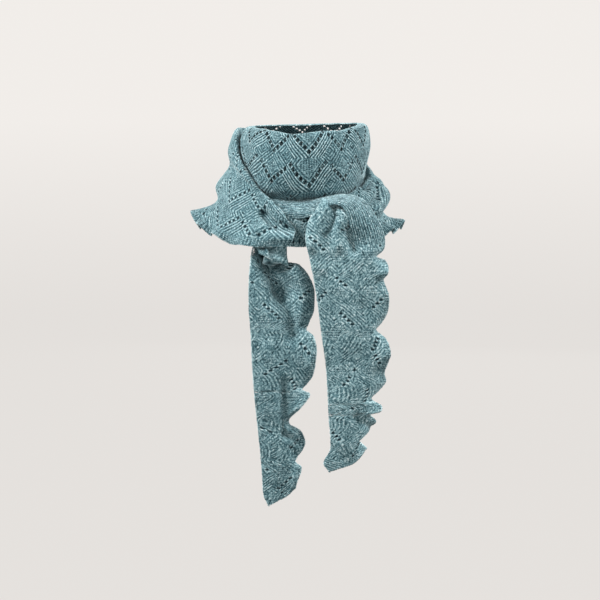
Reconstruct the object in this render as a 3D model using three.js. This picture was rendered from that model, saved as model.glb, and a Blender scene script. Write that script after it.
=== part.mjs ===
// A knitted lace scarf with a ruffled edge, wound round a neck and tied loosely at the front.
//
// Frame: millimetres, +Z up, +X to the wearer's left (right as seen from the front), -Y to the front.
// The origin is on the neck's axis, level with the hem of the outer turn at the front.
//
// The scarf is one knitted strip. It is modelled as the stretches that show, each a curved wall of
// cloth: the turn round the neck, the outer turn that flares over the shoulders, the band that ties
// it, the flap and the strip inside the knot, and the two tails. Each wall follows a table of
// sections, with folds added as soft troughs and ridges along short lines.
import * as THREE from "three";

// ---- Driving dimensions -------------------------------------------------------------------------
const CLOTH = 2.0; // thickness of the knitted cloth
const NECK_MIDDLE_R = 68; // where an angle round the neck is turned into a length on the inner turn
const CAPE_MIDDLE_R = 86; // and on the outer turn
const HEM_MIDDLE_R = 105; // and along the outer turn's hem

// How many steps a wall has along its length and across its width.
const GRID = {
  neckBand: [48, 10],
  outerTurn: [66, 12],
  tieBand: [20, 5],
  knotStrip: [8, 3],
  knotFlap: [6, 3],
  tail: [54, 7],
  tailTurn: [5, 4],
};

const DEG = Math.PI / 180;
const STEP = 1e-3; // share of a surface over which its slope is measured
const PUFF = 1.5; // how far a tail's middle stands forward of its edges

// ---- Tables and curves --------------------------------------------------------------------------

// Rows of numbers under named columns, as a list of objects.
function table(names, ...rows) {
  return rows.map((row) =>
    Object.fromEntries(names.map((name, i) => [name, row[i]])),
  );
}

// A column's value at a position, on a smooth curve through the rows. The first column is the position.
function read(rows, column, at) {
  const key = Object.keys(rows[0])[0];
  const last = rows.length - 2;
  let i = rows.findIndex((row) => row[key] > at) - 1;
  i = i < 0 ? (at < rows[0][key] ? 0 : last) : Math.min(i, last);
  const slope = (k) => {
    const a = rows[Math.max(k - 1, 0)];
    const b = rows[Math.min(k + 1, rows.length - 1)];
    return (b[column] - a[column]) / (b[key] - a[key]);
  };
  const span = rows[i + 1][key] - rows[i][key];
  const t = THREE.MathUtils.clamp((at - rows[i][key]) / span, 0, 1);
  const s = t * t * (3 - 2 * t);
  return (
    rows[i][column] * (1 - s) +
    rows[i + 1][column] * s +
    span * t * (1 - t) * ((1 - t) * slope(i) - t * slope(i + 1))
  );
}

// A point on a smooth curve through evenly numbered points, t from 0 to 1.
function spline(points, t) {
  const n = points.length - 1;
  const i = THREE.MathUtils.clamp(Math.floor(t * n), 0, n - 1);
  const f = t * n - i;
  const [p1, p2] = [points[i], points[i + 1]];
  const p0 = points[i - 1] ?? p1.clone().multiplyScalar(2).sub(p2);
  const p3 = points[i + 2] ?? p2.clone().multiplyScalar(2).sub(p1);
  const blend = (a, b, c, d) =>
    0.5 *
    (2 * b + (c - a) * f + (2 * a - 5 * b + 4 * c - d) * f * f + (3 * b - a - 3 * c + d) * f ** 3);
  return new THREE.Vector3(
    blend(p0.x, p1.x, p2.x, p3.x),
    blend(p0.y, p1.y, p2.y, p3.y),
    blend(p0.z, p1.z, p2.z, p3.z),
  );
}

// A point round the neck: the angle is from the front, and positive towards +X.
function roundNeck(angle, radius, z) {
  return new THREE.Vector3(radius * Math.sin(angle * DEG), -radius * Math.cos(angle * DEG), z);
}

// ---- Folds --------------------------------------------------------------------------------------

// How far a point (across, z) is from a line through points of that kind.
function awayFrom(line, across, z) {
  let best = Infinity;
  for (let i = 0; i + 1 < line.length; i++) {
    const [ax, az] = line[i];
    const [dx, dz] = [line[i + 1][0] - ax, line[i + 1][1] - az];
    const t = THREE.MathUtils.clamp(
      ((across - ax) * dx + (z - az) * dz) / (dx * dx + dz * dz),
      0,
      1,
    );
    best = Math.min(best, Math.hypot(across - ax - t * dx, z - az - t * dz));
  }
  return best;
}

// The height that folds add at a point: a ridge is positive and a trough is negative.
function foldHeight(folds, across, z) {
  return folds.reduce(
    (sum, fold) => sum + fold.height * Math.exp(-((awayFrom(fold.line, across, z) / fold.reach) ** 2)),
    0,
  );
}

// ---- Walls of cloth -----------------------------------------------------------------------------

// The unit normal of a surface, turned to the side that `outward` says.
function normalOf(surface, u, v, outward) {
  const du = surface(u + STEP, v).sub(surface(u - STEP, v));
  const dv = surface(u, v + STEP).sub(surface(u, v - STEP));
  const n = du.cross(dv).normalize();
  return n.multiplyScalar(outward);
}

// A surface with its folds: `across` gives the coordinate that the folds are drawn in.
function folded(surface, folds, across, outward) {
  return (u, v) => {
    const p = surface(u, v);
    const height = foldHeight(folds, across(p), p.z);
    return p.addScaledVector(normalOf(surface, u, v, outward), height);
  };
}

// A closed wall of cloth, half its thickness to each side of the surface. A ring closes along u.
function wall(surface, [along, wide], { ring = false, outward = 1 } = {}) {
  const columns = ring ? along : along + 1;
  const sides = [1, -1].map((side) => {
    const points = [];
    for (let i = 0; i < columns; i++) {
      for (let j = 0; j <= wide; j++) {
        const [u, v] = [i / along, j / wide];
        const n = normalOf(surface, u, v, outward);
        points.push(surface(u, v).addScaledVector(n, (side * CLOTH) / 2));
      }
    }
    return points;
  });
  const count = sides[0].length;
  const at = (side, i, j) => side * count + (i % columns) * (wide + 1) + j;
  const faces = [];
  const quad = (a, b, c, d) => faces.push(a, b, c, a, c, d);
  for (let i = 0; i < along; i++) {
    for (let j = 0; j < wide; j++) {
      quad(at(0, i, j), at(0, i + 1, j), at(0, i + 1, j + 1), at(0, i, j + 1));
      quad(at(1, i, j), at(1, i, j + 1), at(1, i + 1, j + 1), at(1, i + 1, j));
    }
    quad(at(0, i, 0), at(1, i, 0), at(1, i + 1, 0), at(0, i + 1, 0));
    quad(at(0, i + 1, wide), at(1, i + 1, wide), at(1, i, wide), at(0, i, wide));
  }
  for (let j = 0; j < wide && !ring; j++) {
    quad(at(0, 0, j), at(0, 0, j + 1), at(1, 0, j + 1), at(1, 0, j));
    quad(at(0, along, j + 1), at(0, along, j), at(1, along, j), at(1, along, j + 1));
  }
  if (outward < 0) faces.reverse();
  const geometry = new THREE.BufferGeometry().setFromPoints([...sides[0], ...sides[1]]);
  geometry.setIndex(faces);
  geometry.computeVertexNormals();
  return geometry;
}

// ---- The turn round the neck --------------------------------------------------------------------

// By angle round the neck: the rim, the shoulder it rolls over, the belly, the edge that turns
// under, and the foot behind that edge.
const NECK_BAND = table(
  ["angle", "rimR", "rimZ", "browR", "browZ", "bellyR", "bellyZ", "edgeR", "edgeZ", "footR", "footZ"],
  [-180, 55, 117, 65, 116, 70, 100, 69, 82, 64, 74],
  [-135, 54, 116, 64, 115, 69, 99, 68, 81, 63, 74],
  [-95, 53, 117, 64.5, 115, 66.5, 97, 66, 78, 62, 70],
  [-70, 53, 116, 64.5, 114, 67, 92, 67, 73, 62, 66],
  [-50, 54, 115, 64, 112, 68, 86, 68, 65, 63, 59],
  [-38, 55, 115, 64, 112, 69, 84, 71, 60, 66, 54],
  [-15, 56, 115, 65, 112, 71, 81, 72, 55, 66, 50],
  [10, 56, 115, 65, 112, 71, 81, 71, 54, 65, 50],
  [35, 56, 116, 65, 113, 69, 86, 69, 58, 62, 54],
  [60, 56, 118, 65, 115, 66, 92, 64, 66, 59, 60],
  [90, 56, 120, 66, 116, 66, 97, 62, 78, 58, 70],
  [135, 55, 119, 66, 117, 69, 99, 66, 80, 60, 72],
  [180, 55, 117, 65, 116, 70, 100, 69, 82, 64, 74],
);

// Shallow hollows where the cloth settles.
const NECK_BAND_FOLDS = [
  { line: [[-14, 106], [0, 84], [6, 66]], reach: 14, height: -1.8 },
  { line: [[46, 108], [56, 82]], reach: 9, height: -1.6 },
  { line: [[-62, 104], [-52, 88]], reach: 9, height: 1.5 },
];

// An angle brought into the half turn to each side of the front.
function wrapped(angle) {
  return THREE.MathUtils.euclideanModulo(angle + 180, 360) - 180;
}

function neckBand() {
  const surface = (u, v) => {
    const angle = wrapped(360 * u);
    const at = (name) =>
      roundNeck(angle, read(NECK_BAND, name + "R", angle), read(NECK_BAND, name + "Z", angle));
    return spline(["rim", "brow", "belly", "edge", "foot"].map(at), v);
  };
  const across = (p) => Math.atan2(p.x, -p.y) * NECK_MIDDLE_R;
  return wall(folded(surface, NECK_BAND_FOLDS, across, 1), GRID.neckBand, { ring: true });
}

// ---- The outer turn -----------------------------------------------------------------------------

// By angle from the front and round by -X: the roll along the upper edge, from the edge tucked
// against the inner turn, over the top, and down its side.
const OUTER_ROLL = table(
  ["angle", "tuckR", "tuckZ", "rollR", "rollZ", "sideR", "sideZ"],
  [15, 80, 29, 83.5, 34, 87, 31],
  [26, 75, 41, 78.5, 46, 82, 43],
  [36, 71, 49, 74.5, 54, 78, 52],
  [43, 71, 54, 74, 62, 77.5, 60],
  [52, 71.5, 60, 73.5, 73, 77.5, 69],
  [60, 71, 64, 73.5, 82, 78, 76],
  [70, 71, 72, 73.5, 96, 79, 85],
  [80, 70, 84, 73, 107, 79, 92],
  [92, 70, 92, 73.5, 112, 79.5, 93],
  [120, 71.5, 92, 75, 111, 81, 93],
  [150, 73.5, 91, 77, 108, 83, 91],
  [180, 74, 90, 78, 105, 84, 90],
  [215, 73, 82, 76, 97, 80, 84],
  [232, 70, 75, 72, 87, 75, 77],
  [247, 67, 66, 69, 76, 71, 71],
  [262, 65, 62, 67, 72, 69, 69],
  [277, 65, 60, 67, 70, 70, 67],
  [294, 66, 56, 69, 65, 72, 62],
  [310, 67, 50, 70, 57, 73, 54],
  [326, 68, 42, 71, 48, 75, 45],
);

// By the same angle: the waist below the roll, the slope, the ruffle's root and the hem. The lean
// turns the lower part towards the front, so that the end's edge slants.
const OUTER_CAPE = table(
  ["angle", "waistR", "waistZ", "slopeR", "slopeZ", "rootR", "rootZ", "hemR", "hemZ", "lean"],
  [15, 88, 27, 91, 19, 92, 12, 93, 2, 8],
  [26, 83, 38, 88, 26, 95, 11, 98, 1, 4],
  [36, 78.5, 48, 87, 31, 97, 13, 103, 1, 1],
  [43, 77, 55, 87, 38, 98, 16, 104, 2.5, 0],
  [52, 75.5, 63, 86, 46, 98, 20, 106, 7, 0],
  [60, 75.5, 69, 86, 52, 98, 25, 109, 11, 0],
  [70, 76, 74, 86, 57, 96, 33, 112, 17, 0],
  [80, 77, 76, 87, 60, 94, 40, 113.5, 22, 0],
  [92, 77, 77, 88, 60, 92, 42, 113, 26, 0],
  [105, 78, 76, 88, 60, 92, 40, 110, 22, 0],
  [125, 79, 76, 88, 60, 92, 40, 107, 22, 0],
  [150, 81, 75, 90, 60, 94, 42, 106, 25, 0],
  [180, 82, 74, 90, 59, 94, 42, 106, 26, 0],
  [215, 80, 68, 87, 54, 91, 36, 103, 20, 0],
  [232, 75, 64, 82, 49, 85, 31, 99, 14, 0],
  [247, 72, 63, 79, 49, 80, 28, 98, 12, 0],
  [262, 72, 63, 79.5, 50, 78, 28, 100, 15, 0],
  [277, 74, 61, 82.5, 49, 80, 29, 101, 18, 0],
  [294, 76, 56, 84, 45, 83, 27, 99, 14, 0],
  [310, 77, 49, 85, 38, 87, 22, 97, 10, 0],
  [326, 78, 40, 83, 31, 86, 16, 92, 6, 0],
);

// Pleats that gather towards the knot, and the pocket at the front end, as (angle, height) lines.
const OUTER_TURN_FOLDS = [
  { line: [[322, 50], [296, 54], [270, 63]], reach: 4, height: -4.5 },
  { line: [[318, 38], [298, 40], [280, 46], [266, 57]], reach: 5, height: -6 },
  { line: [[318, 45], [290, 52]], reach: 5, height: 3 },
  { line: [[29, 33], [23, 26], [17, 21], [7, 18]], reach: 5, height: -5 },
  { line: [[36, 7], [28, 19]], reach: 5, height: 2.5 },
  { line: [[17, 11], [8, 10]], reach: 5, height: 2.5 },
];

// The ruffle's waves: their length along the hem, how far they stand out, how uneven they are, the
// length over which they rise from the calm front end, and the share of the section they start at.
const OUTER_RUFFLE = { wave: 32, height: 7, uneven: 0.9, beat: 2.7, calmTo: 90, root: 0.75 };

// How far the ruffle leaves the surface, at a length along the hem and a share out from its root.
function ruffleWave(ruffle, along, out) {
  const turn = (2 * Math.PI * along) / ruffle.wave;
  const calm = THREE.MathUtils.smoothstep(along, 0, ruffle.calmTo);
  const swing = Math.sin(turn + ruffle.uneven * Math.sin(turn / ruffle.beat));
  return ruffle.height * (0.2 + 0.8 * calm) * out * out * swing;
}

function outerTurn() {
  const [first, last] = [OUTER_CAPE[0].angle, OUTER_CAPE.at(-1).angle];
  const plain = (u, v) => {
    const angle = THREE.MathUtils.lerp(first, last, u);
    const at = (rows, name, lean) =>
      roundNeck(
        -angle + lean * read(OUTER_CAPE, "lean", angle),
        read(rows, name + "R", angle),
        read(rows, name + "Z", angle),
      );
    return spline(
      [
        at(OUTER_ROLL, "tuck", 0),
        at(OUTER_ROLL, "roll", 0),
        at(OUTER_ROLL, "side", 0.2),
        at(OUTER_CAPE, "waist", 0.4),
        at(OUTER_CAPE, "slope", 1),
        at(OUTER_CAPE, "root", 1),
        at(OUTER_CAPE, "hem", 0.7),
      ],
      v,
    );
  };
  const across = (p) => THREE.MathUtils.euclideanModulo(Math.atan2(-p.x, -p.y), 2 * Math.PI) * CAPE_MIDDLE_R;
  const lines = OUTER_TURN_FOLDS.map((fold) => ({
    ...fold,
    line: fold.line.map(([angle, z]) => [angle * DEG * CAPE_MIDDLE_R, z]),
  }));
  const pleated = folded(plain, lines, across, -1);
  const ruffled = (u, v) => {
    const out = THREE.MathUtils.clamp((v - OUTER_RUFFLE.root) / (1 - OUTER_RUFFLE.root), 0, 1);
    const along = (last - first) * u * DEG * HEM_MIDDLE_R;
    return pleated(u, v).addScaledVector(normalOf(plain, u, v, -1), ruffleWave(OUTER_RUFFLE, along, out));
  };
  return wall(ruffled, GRID.outerTurn, { outward: -1 });
}

// ---- Bands given by their two edges -------------------------------------------------------------

// A band's surface, from edge a to edge b of each row, with its middle pushed forward by `puff`.
function bandSurface(rows) {
  const key = Object.keys(rows[0])[0];
  const [first, last] = [rows[0][key], rows.at(-1)[key]];
  return (u, v) => {
    const get = (column) => read(rows, column, THREE.MathUtils.lerp(first, last, u));
    const a = new THREE.Vector3(get("ax"), get("ay"), get("az"));
    const b = new THREE.Vector3(get("bx"), get("by"), get("bz"));
    const pushed = (share, part) => {
      const p = a.clone().lerp(b, share);
      p.y -= part * get("puff");
      return p;
    };
    return spline([a, pushed(0.25, 0.8), pushed(0.5, 1), pushed(0.75, 0.8), b], v);
  };
}

function band(rows, grid) {
  return wall(bandSurface(rows), grid);
}

// The band that ties the scarf: out from under the turn round the neck, over, and down at the right.
// Edge a is the upper and outer one, and edge b the lower and inner one.
const TIE_BAND = table(
  ["step", "ax", "ay", "az", "bx", "by", "bz", "puff"],
  [0, -44, -48, 46, -46, -60, 36, 1],
  [1, -27, -56, 46, -27, -70, 31, 3],
  [2, -9, -60, 45.8, -9, -77, 27.5, 5],
  [3, 7, -61, 46.7, 8, -83, 31, 6],
  [4, 22, -64, 48.7, 24, -88, 41, 6],
  [5, 40, -65, 50.8, 36, -90, 42, 6],
  [6, 57, -67, 46, 42, -91, 36, 5],
  [7, 68, -76, 33, 44, -92, 26, 4],
  [8, 74, -85, 19, 46, -94, 13, 3],
  [9, 76, -92, 6, 48, -97, 1, 2],
);

// ---- Tails --------------------------------------------------------------------------------------

// By depth below the hem: the straight edge, the ruffle's root, and how much lower the hem lies.
const RIGHT_TAIL = table(
  ["drop", "edgeX", "edgeY", "rootX", "rootY", "fall"],
  [-38, 14, -79, 44, -76.5, 0],
  [-30, 6, -82, 50, -81, 0],
  [-20, 2, -85, 56, -85.4, 0],
  [-8, 1, -89, 60, -90.7, 0],
  [6, 4, -93, 62, -96, 0],
  [26, 8, -97, 64, -98, 0],
  [56, 13, -99, 65, -100, 0],
  [88, 17, -101, 64, -102, 0],
  [112, 20.5, -103, 62, -103, 0],
  [140, 22.5, -105, 57, -105, -1],
  [170, 24, -107, 52, -106, -4],
  [190, 25.5, -108, 48, -107, -9],
  [200, 24.5, -108, 47, -108, -14],
  [212, 18.5, -108, 46, -108, -19],
  [220, 24, -108, 46, -108, -24],
);

// By depth below the hem: how far out the ruffle's edge reaches, and its lift to the front.
const RIGHT_RUFFLE = table(
  ["drop", "x", "lift"],
  [-38, 50, -4],
  [-24, 62, -5],
  [-6, 71, -7],
  [10, 70, -9],
  [13, 79, -5],
  [24, 81, 3],
  [31, 77, -3],
  [47, 82, -1],
  [64, 81, -6],
  [75, 75, -9],
  [82, 70, -8],
  [89, 79, 0],
  [102, 83.5, 5],
  [113, 81, 0],
  [124, 78, -5],
  [133, 79.5, -8],
  [142, 72, -7],
  [149, 65, -3],
  [154, 74.5, 4],
  [160, 73, 5],
  [163, 64, 0],
  [172, 70, -6],
  [182, 64, -8],
  [188, 51, -6],
  [196, 60, 4],
  [206, 55, 5],
);

// The pleats at the top, where the tail comes out from under the tie.
const RIGHT_TAIL_FOLDS = [
  { line: [[11, 32], [10, 10], [14, -8]], reach: 7, height: 4 },
  { line: [[25, 38], [26, 26], [17, 16]], reach: 4, height: -5 },
  { line: [[34, 32], [33, 4]], reach: 6.5, height: 4 },
  { line: [[43, 26], [48, -2]], reach: 5.5, height: -3.5 },
  { line: [[30, -40], [46, -92]], reach: 14, height: 1.8 },
  { line: [[56, -60], [50, -120]], reach: 9, height: -2 },
  { line: [[30, -150], [40, -190]], reach: 9, height: 1.8 },
];

const LEFT_TAIL = table(
  ["drop", "edgeX", "edgeY", "rootX", "rootY", "fall"],
  [-2, -51, -77, -36, -79, 8],
  [8, -53, -84, -29, -83, 12],
  [18, -54, -89, -22, -86, 12],
  [34, -55, -93, -17, -89, 6],
  [60, -55, -97, -14, -93, 0],
  [85, -53, -100, -12, -97, 0],
  [110, -52, -102, -13, -100, 0],
  [140, -50, -104, -17, -102, 0],
  [170, -47, -105, -20, -104, 0],
  [200, -44, -106, -20, -105, 0],
  [226, -42, -107, -20, -106, -2],
  [244, -40.5, -107, -22, -107, -8],
  [254, -36, -107, -26, -107, -17],
);

const LEFT_RUFFLE = table(
  ["drop", "x", "lift"],
  [6, -44, 0],
  [14, -24, 0],
  [20, -8, 0],
  [28, 2, -1],
  [38, 7, -4],
  [50, 8, -6],
  [64, 6, -7],
  [76, 3, -6],
  [81, 1, -2],
  [86, 7.5, 3],
  [98, 11, 5],
  [112, 10, 3],
  [126, 7, -1],
  [135, 1, -3],
  [140, -3.5, 0],
  [142.5, 4.5, 4],
  [156, -4, 3],
  [167, -13.5, -3],
  [176, -14, -8],
  [182, -5, -8],
  [193, 0, -7],
  [204, -5, -4],
  [210, -10, 0],
  [216, -4, 3],
  [227, -7, 2],
  [237, -10, 0],
);

const LEFT_TAIL_FOLDS = [
  { line: [[-40, -14], [-34, -32], [-22, -56], [-17, -78]], reach: 7, height: -6 },
  { line: [[-4, -38], [0, -62]], reach: 10, height: 2.5 },
  { line: [[-22, -134], [-20, -182]], reach: 5, height: -3 },
  { line: [[-38, -100], [-34, -160]], reach: 10, height: 1.6 },
  { line: [[-32, -190], [-26, -225]], reach: 8, height: 1.8 },
];

// A tail's surface: from its straight edge to the ruffle's root, and out to the ruffle's edge.
function tailSurface(tail, ruffle) {
  const [first, last] = [tail[0].drop, tail.at(-1).drop];
  return (u, v) => {
    const drop = THREE.MathUtils.lerp(first, last, u);
    const get = (column) => read(tail, column, drop);
    const hemDrop = drop + get("fall");
    const edge = new THREE.Vector3(get("edgeX"), get("edgeY"), -drop);
    const root = new THREE.Vector3(get("rootX"), get("rootY"), -drop - 0.3 * get("fall"));
    const hem = new THREE.Vector3(
      read(ruffle, "x", hemDrop),
      get("rootY") - read(ruffle, "lift", hemDrop),
      -hemDrop,
    );
    const middle = edge.clone().lerp(root, 0.5);
    middle.y -= PUFF;
    const flare = root.clone().lerp(hem, 0.5);
    flare.y += 0.3 * (root.y - hem.y);
    flare.z = THREE.MathUtils.lerp(root.z, hem.z, 0.35);
    return spline([edge, middle, root, flare, hem], v);
  };
}

function tail(rows, ruffle, folds) {
  return wall(folded(tailSurface(rows, ruffle), folds, (p) => p.x, -1), GRID.tail, { outward: -1 });
}

// ---- Inside the knot ----------------------------------------------------------------------------

// The strip that joins the left tail to the knot, behind the outer turn's front end.
const KNOT_STRIP = table(
  ["step", "ax", "ay", "az", "bx", "by", "bz", "puff"],
  [0, -44, -65, 12, -42, -66, 2, 1],
  [1, -30, -69.5, 15, -30, -70.5, 0, 1],
  [2, -15, -72.5, 17, -15, -73.5, 1, 1],
  [3, 0, -74.5, 18, -1, -76, 1.5, 1],
  [4, 14, -76, 19, 12, -78, 6, 1],
);

// The three-cornered flap of cloth that shows between the outer turn and the knot.
const KNOT_FLAP = table(
  ["step", "ax", "ay", "az", "bx", "by", "bz", "puff"],
  [0, -18, -74.5, 27, 8, -75, 26, 0],
  [1, -12, -77, 22, 5, -77.5, 20, 1],
  [2, -6, -79, 16.5, 3.5, -79.5, 14, 0.6],
  [3, -1, -80.5, 11, 1, -80.5, 10, 0],
);

// The turn of cloth above the left tail, between the hem and the tail's slanted top.
const TAIL_TURN = table(
  ["step", "ax", "ay", "az", "bx", "by", "bz", "puff"],
  [0, -46, -69.5, 8, -18, -76.5, 6, 0.5],
  [1, -45, -71.5, 0, -18, -77.5, -6, 1],
  [2, -38, -74.5, -10, -18, -79.5, -20, 1],
);

// ---- The scarf ----------------------------------------------------------------------------------

// Wool yarn, matt all over: each piece has its own shade, darker where it lies in the knot.
function wool(color) {
  return new THREE.MeshStandardMaterial({ color, roughness: 0.95, metalness: 0 });
}

const PIECES = [
  { name: "neck_band", shape: neckBand(), color: 0x7c9ea4 },
  { name: "outer_turn", shape: outerTurn(), color: 0x84a6ab },
  { name: "tie_band", shape: band(TIE_BAND, GRID.tieBand), color: 0x80a2a8 },
  { name: "knot_strip", shape: band(KNOT_STRIP, GRID.knotStrip), color: 0x4c6b72 },
  { name: "knot_flap", shape: band(KNOT_FLAP, GRID.knotFlap), color: 0x6d9097 },
  { name: "right_tail", shape: tail(RIGHT_TAIL, RIGHT_RUFFLE, RIGHT_TAIL_FOLDS), color: 0x6f9197 },
  { name: "left_tail", shape: tail(LEFT_TAIL, LEFT_RUFFLE, LEFT_TAIL_FOLDS), color: 0x688b92 },
  { name: "left_tail_turn", shape: band(TAIL_TURN, GRID.tailTurn), color: 0x5f8288 },
];

const scarf = new THREE.Group();
for (const { name, shape, color } of PIECES) {
  const piece = new THREE.Mesh(shape, wool(color));
  piece.name = name;
  scarf.add(piece);
}

export default scarf;
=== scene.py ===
"""The looks of a knitted lace scarf with a ruffled edge, wound round a neck and tied in front.

Every form is a cloth surface through sections given in millimetres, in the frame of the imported
model: +Z up, -Y to the wearer's front. The lace is charted by the half stitch and raised on it.
"""

import logging
import math
from collections.abc import Sequence
from dataclasses import dataclass, field, replace
from enum import Enum
from typing import Any

import bpy
import numpy as np
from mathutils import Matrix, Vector


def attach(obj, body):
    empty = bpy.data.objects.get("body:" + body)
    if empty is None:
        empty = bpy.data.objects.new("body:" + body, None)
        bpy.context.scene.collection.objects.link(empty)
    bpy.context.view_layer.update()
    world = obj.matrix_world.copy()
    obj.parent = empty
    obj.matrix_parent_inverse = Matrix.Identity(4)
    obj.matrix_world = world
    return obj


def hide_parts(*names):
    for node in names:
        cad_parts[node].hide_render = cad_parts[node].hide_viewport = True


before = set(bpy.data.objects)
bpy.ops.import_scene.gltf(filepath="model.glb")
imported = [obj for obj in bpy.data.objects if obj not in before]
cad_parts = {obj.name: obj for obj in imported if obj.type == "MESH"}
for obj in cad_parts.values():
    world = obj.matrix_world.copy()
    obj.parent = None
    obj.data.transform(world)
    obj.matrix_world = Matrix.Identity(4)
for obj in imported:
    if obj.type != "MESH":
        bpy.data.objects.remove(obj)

Array = np.ndarray
MM = 0.001  # a millimetre in Blender's metres
GOLDEN = 0.618034  # its multiples, less their whole parts, spread evenly between 0 and 1
MATH = "ShaderNodeMath"  # types of node
NOISE = "ShaderNodeTexNoise"
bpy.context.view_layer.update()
log = logging.getLogger("scarf")


# ---- Tables and curves --------------------------------------------------------------------------


class Table:
    """Rows of numbers under named columns, the first of them the position."""

    def __init__(self, names: str, *rows: Sequence[float]) -> None:
        """Keeps the rows, in rising order of their first column, under the names in one string."""
        self.names = names.split()
        self.rows = np.array(rows, float)

    @property
    def first(self) -> float:
        """The first row's position."""
        return float(self.rows[0, 0])

    @property
    def last(self) -> float:
        """The last row's position."""
        return float(self.rows[-1, 0])

    def read(self, column: str, at: Array) -> Array:
        """A column's values on a smooth curve through the rows.

        Args:
            column: the column's name.
            at: the positions to read at.

        Returns:
            One value for each position.
        """
        x = self.rows[:, 0]
        y = self.rows[:, self.names.index(column)]
        slope = np.empty_like(y)
        slope[1:-1] = (y[2:] - y[:-2]) / (x[2:] - x[:-2])
        slope[0] = (y[1] - y[0]) / (x[1] - x[0])
        slope[-1] = (y[-1] - y[-2]) / (x[-1] - x[-2])
        i = np.clip(np.searchsorted(x, at, "right") - 1, 0, len(x) - 2)
        span = x[i + 1] - x[i]
        t = np.clip((at - x[i]) / span, 0, 1)
        s = smooth(t)
        bend = (1 - t) * slope[i] - t * slope[i + 1]
        return y[i] * (1 - s) + y[i + 1] * s + span * t * (1 - t) * bend

    def point(self, name: str, at: Array) -> Array:
        """The points whose coordinates are the columns NAMEx, NAMEy and NAMEz."""
        return np.stack([self.read(name + axis, at) for axis in "xyz"], axis=-1)


def smooth(t: Array) -> Array:
    """A soft step from 0 to 1."""
    t = np.clip(t, 0, 1)
    return t * t * (3 - 2 * t)


def through(points: Array, v: Array) -> Array:
    """Points on smooth curves through rows of control points.

    Args:
        points: the control points, shaped (rows, count, 3).
        v: shares of the way along each row's curve, shaped (rows, steps).

    Returns:
        The points on the curves, shaped (rows, steps, 3).
    """
    count = points.shape[1]
    before = 2 * points[:, :1] - points[:, 1:2]
    after = 2 * points[:, -1:] - points[:, -2:-1]
    every = np.concatenate([before, points, after], axis=1)
    t = v * (count - 1)
    i = np.clip(np.floor(t).astype(int), 0, count - 2)
    f = (t - i)[..., None]
    a, b, c, d = (np.take_along_axis(every, (i + k)[..., None], axis=1) for k in range(4))
    curve = 2 * b + (c - a) * f + (2 * a - 5 * b + 4 * c - d) * f**2
    return 0.5 * (curve + (3 * b - a - 3 * c + d) * f**3)


def lengths(points: Array) -> Array:
    """The length from each row's first point to every point of the row."""
    steps = np.linalg.norm(np.diff(points, axis=-2), axis=-1)
    return np.concatenate([np.zeros((*steps.shape[:-1], 1)), np.cumsum(steps, axis=-1)], axis=-1)


def round_neck(angle: Array, radius: Array, z: Array) -> Array:
    """Points round the neck: the angle is in degrees from the front, positive towards +X."""
    turn = np.radians(angle)
    return np.stack([radius * np.sin(turn), -radius * np.cos(turn), z], axis=-1)


def unit(vectors: Array) -> Array:
    """The vectors, each with a length of one."""
    return vectors / np.maximum(np.linalg.norm(vectors, axis=-1, keepdims=True), 1e-9)


# ---- Folds --------------------------------------------------------------------------------------


@dataclass(frozen=True)
class Fold:
    """A soft ridge or trough along a line."""

    line: tuple[tuple[float, float], ...]  # points as (across, height)
    reach: float  # how far to each side it fades out
    height: float  # a ridge is positive and a trough is negative

    def lift(self, across: Array, z: Array) -> Array:
        """How far the fold moves cloth along its normal.

        Args:
            across: the coordinate across the cloth.
            z: the height.

        Returns:
            The move in millimetres.
        """
        away = np.full(across.shape, np.inf)
        for (ax, az), (bx, bz) in zip(self.line, self.line[1:]):
            dx, dz = bx - ax, bz - az
            t = np.clip(((across - ax) * dx + (z - az) * dz) / (dx * dx + dz * dz), 0, 1)
            away = np.minimum(away, np.hypot(across - ax - t * dx, z - az - t * dz))
        return self.height * np.exp(-((away / self.reach) ** 2))


# ---- The lace -----------------------------------------------------------------------------------


class Holes(Enum):
    """How the eyelets lie in the cloth."""

    OPEN = "stretched open"
    SHUT = "closed to pits"
    NONE = "none"


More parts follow.
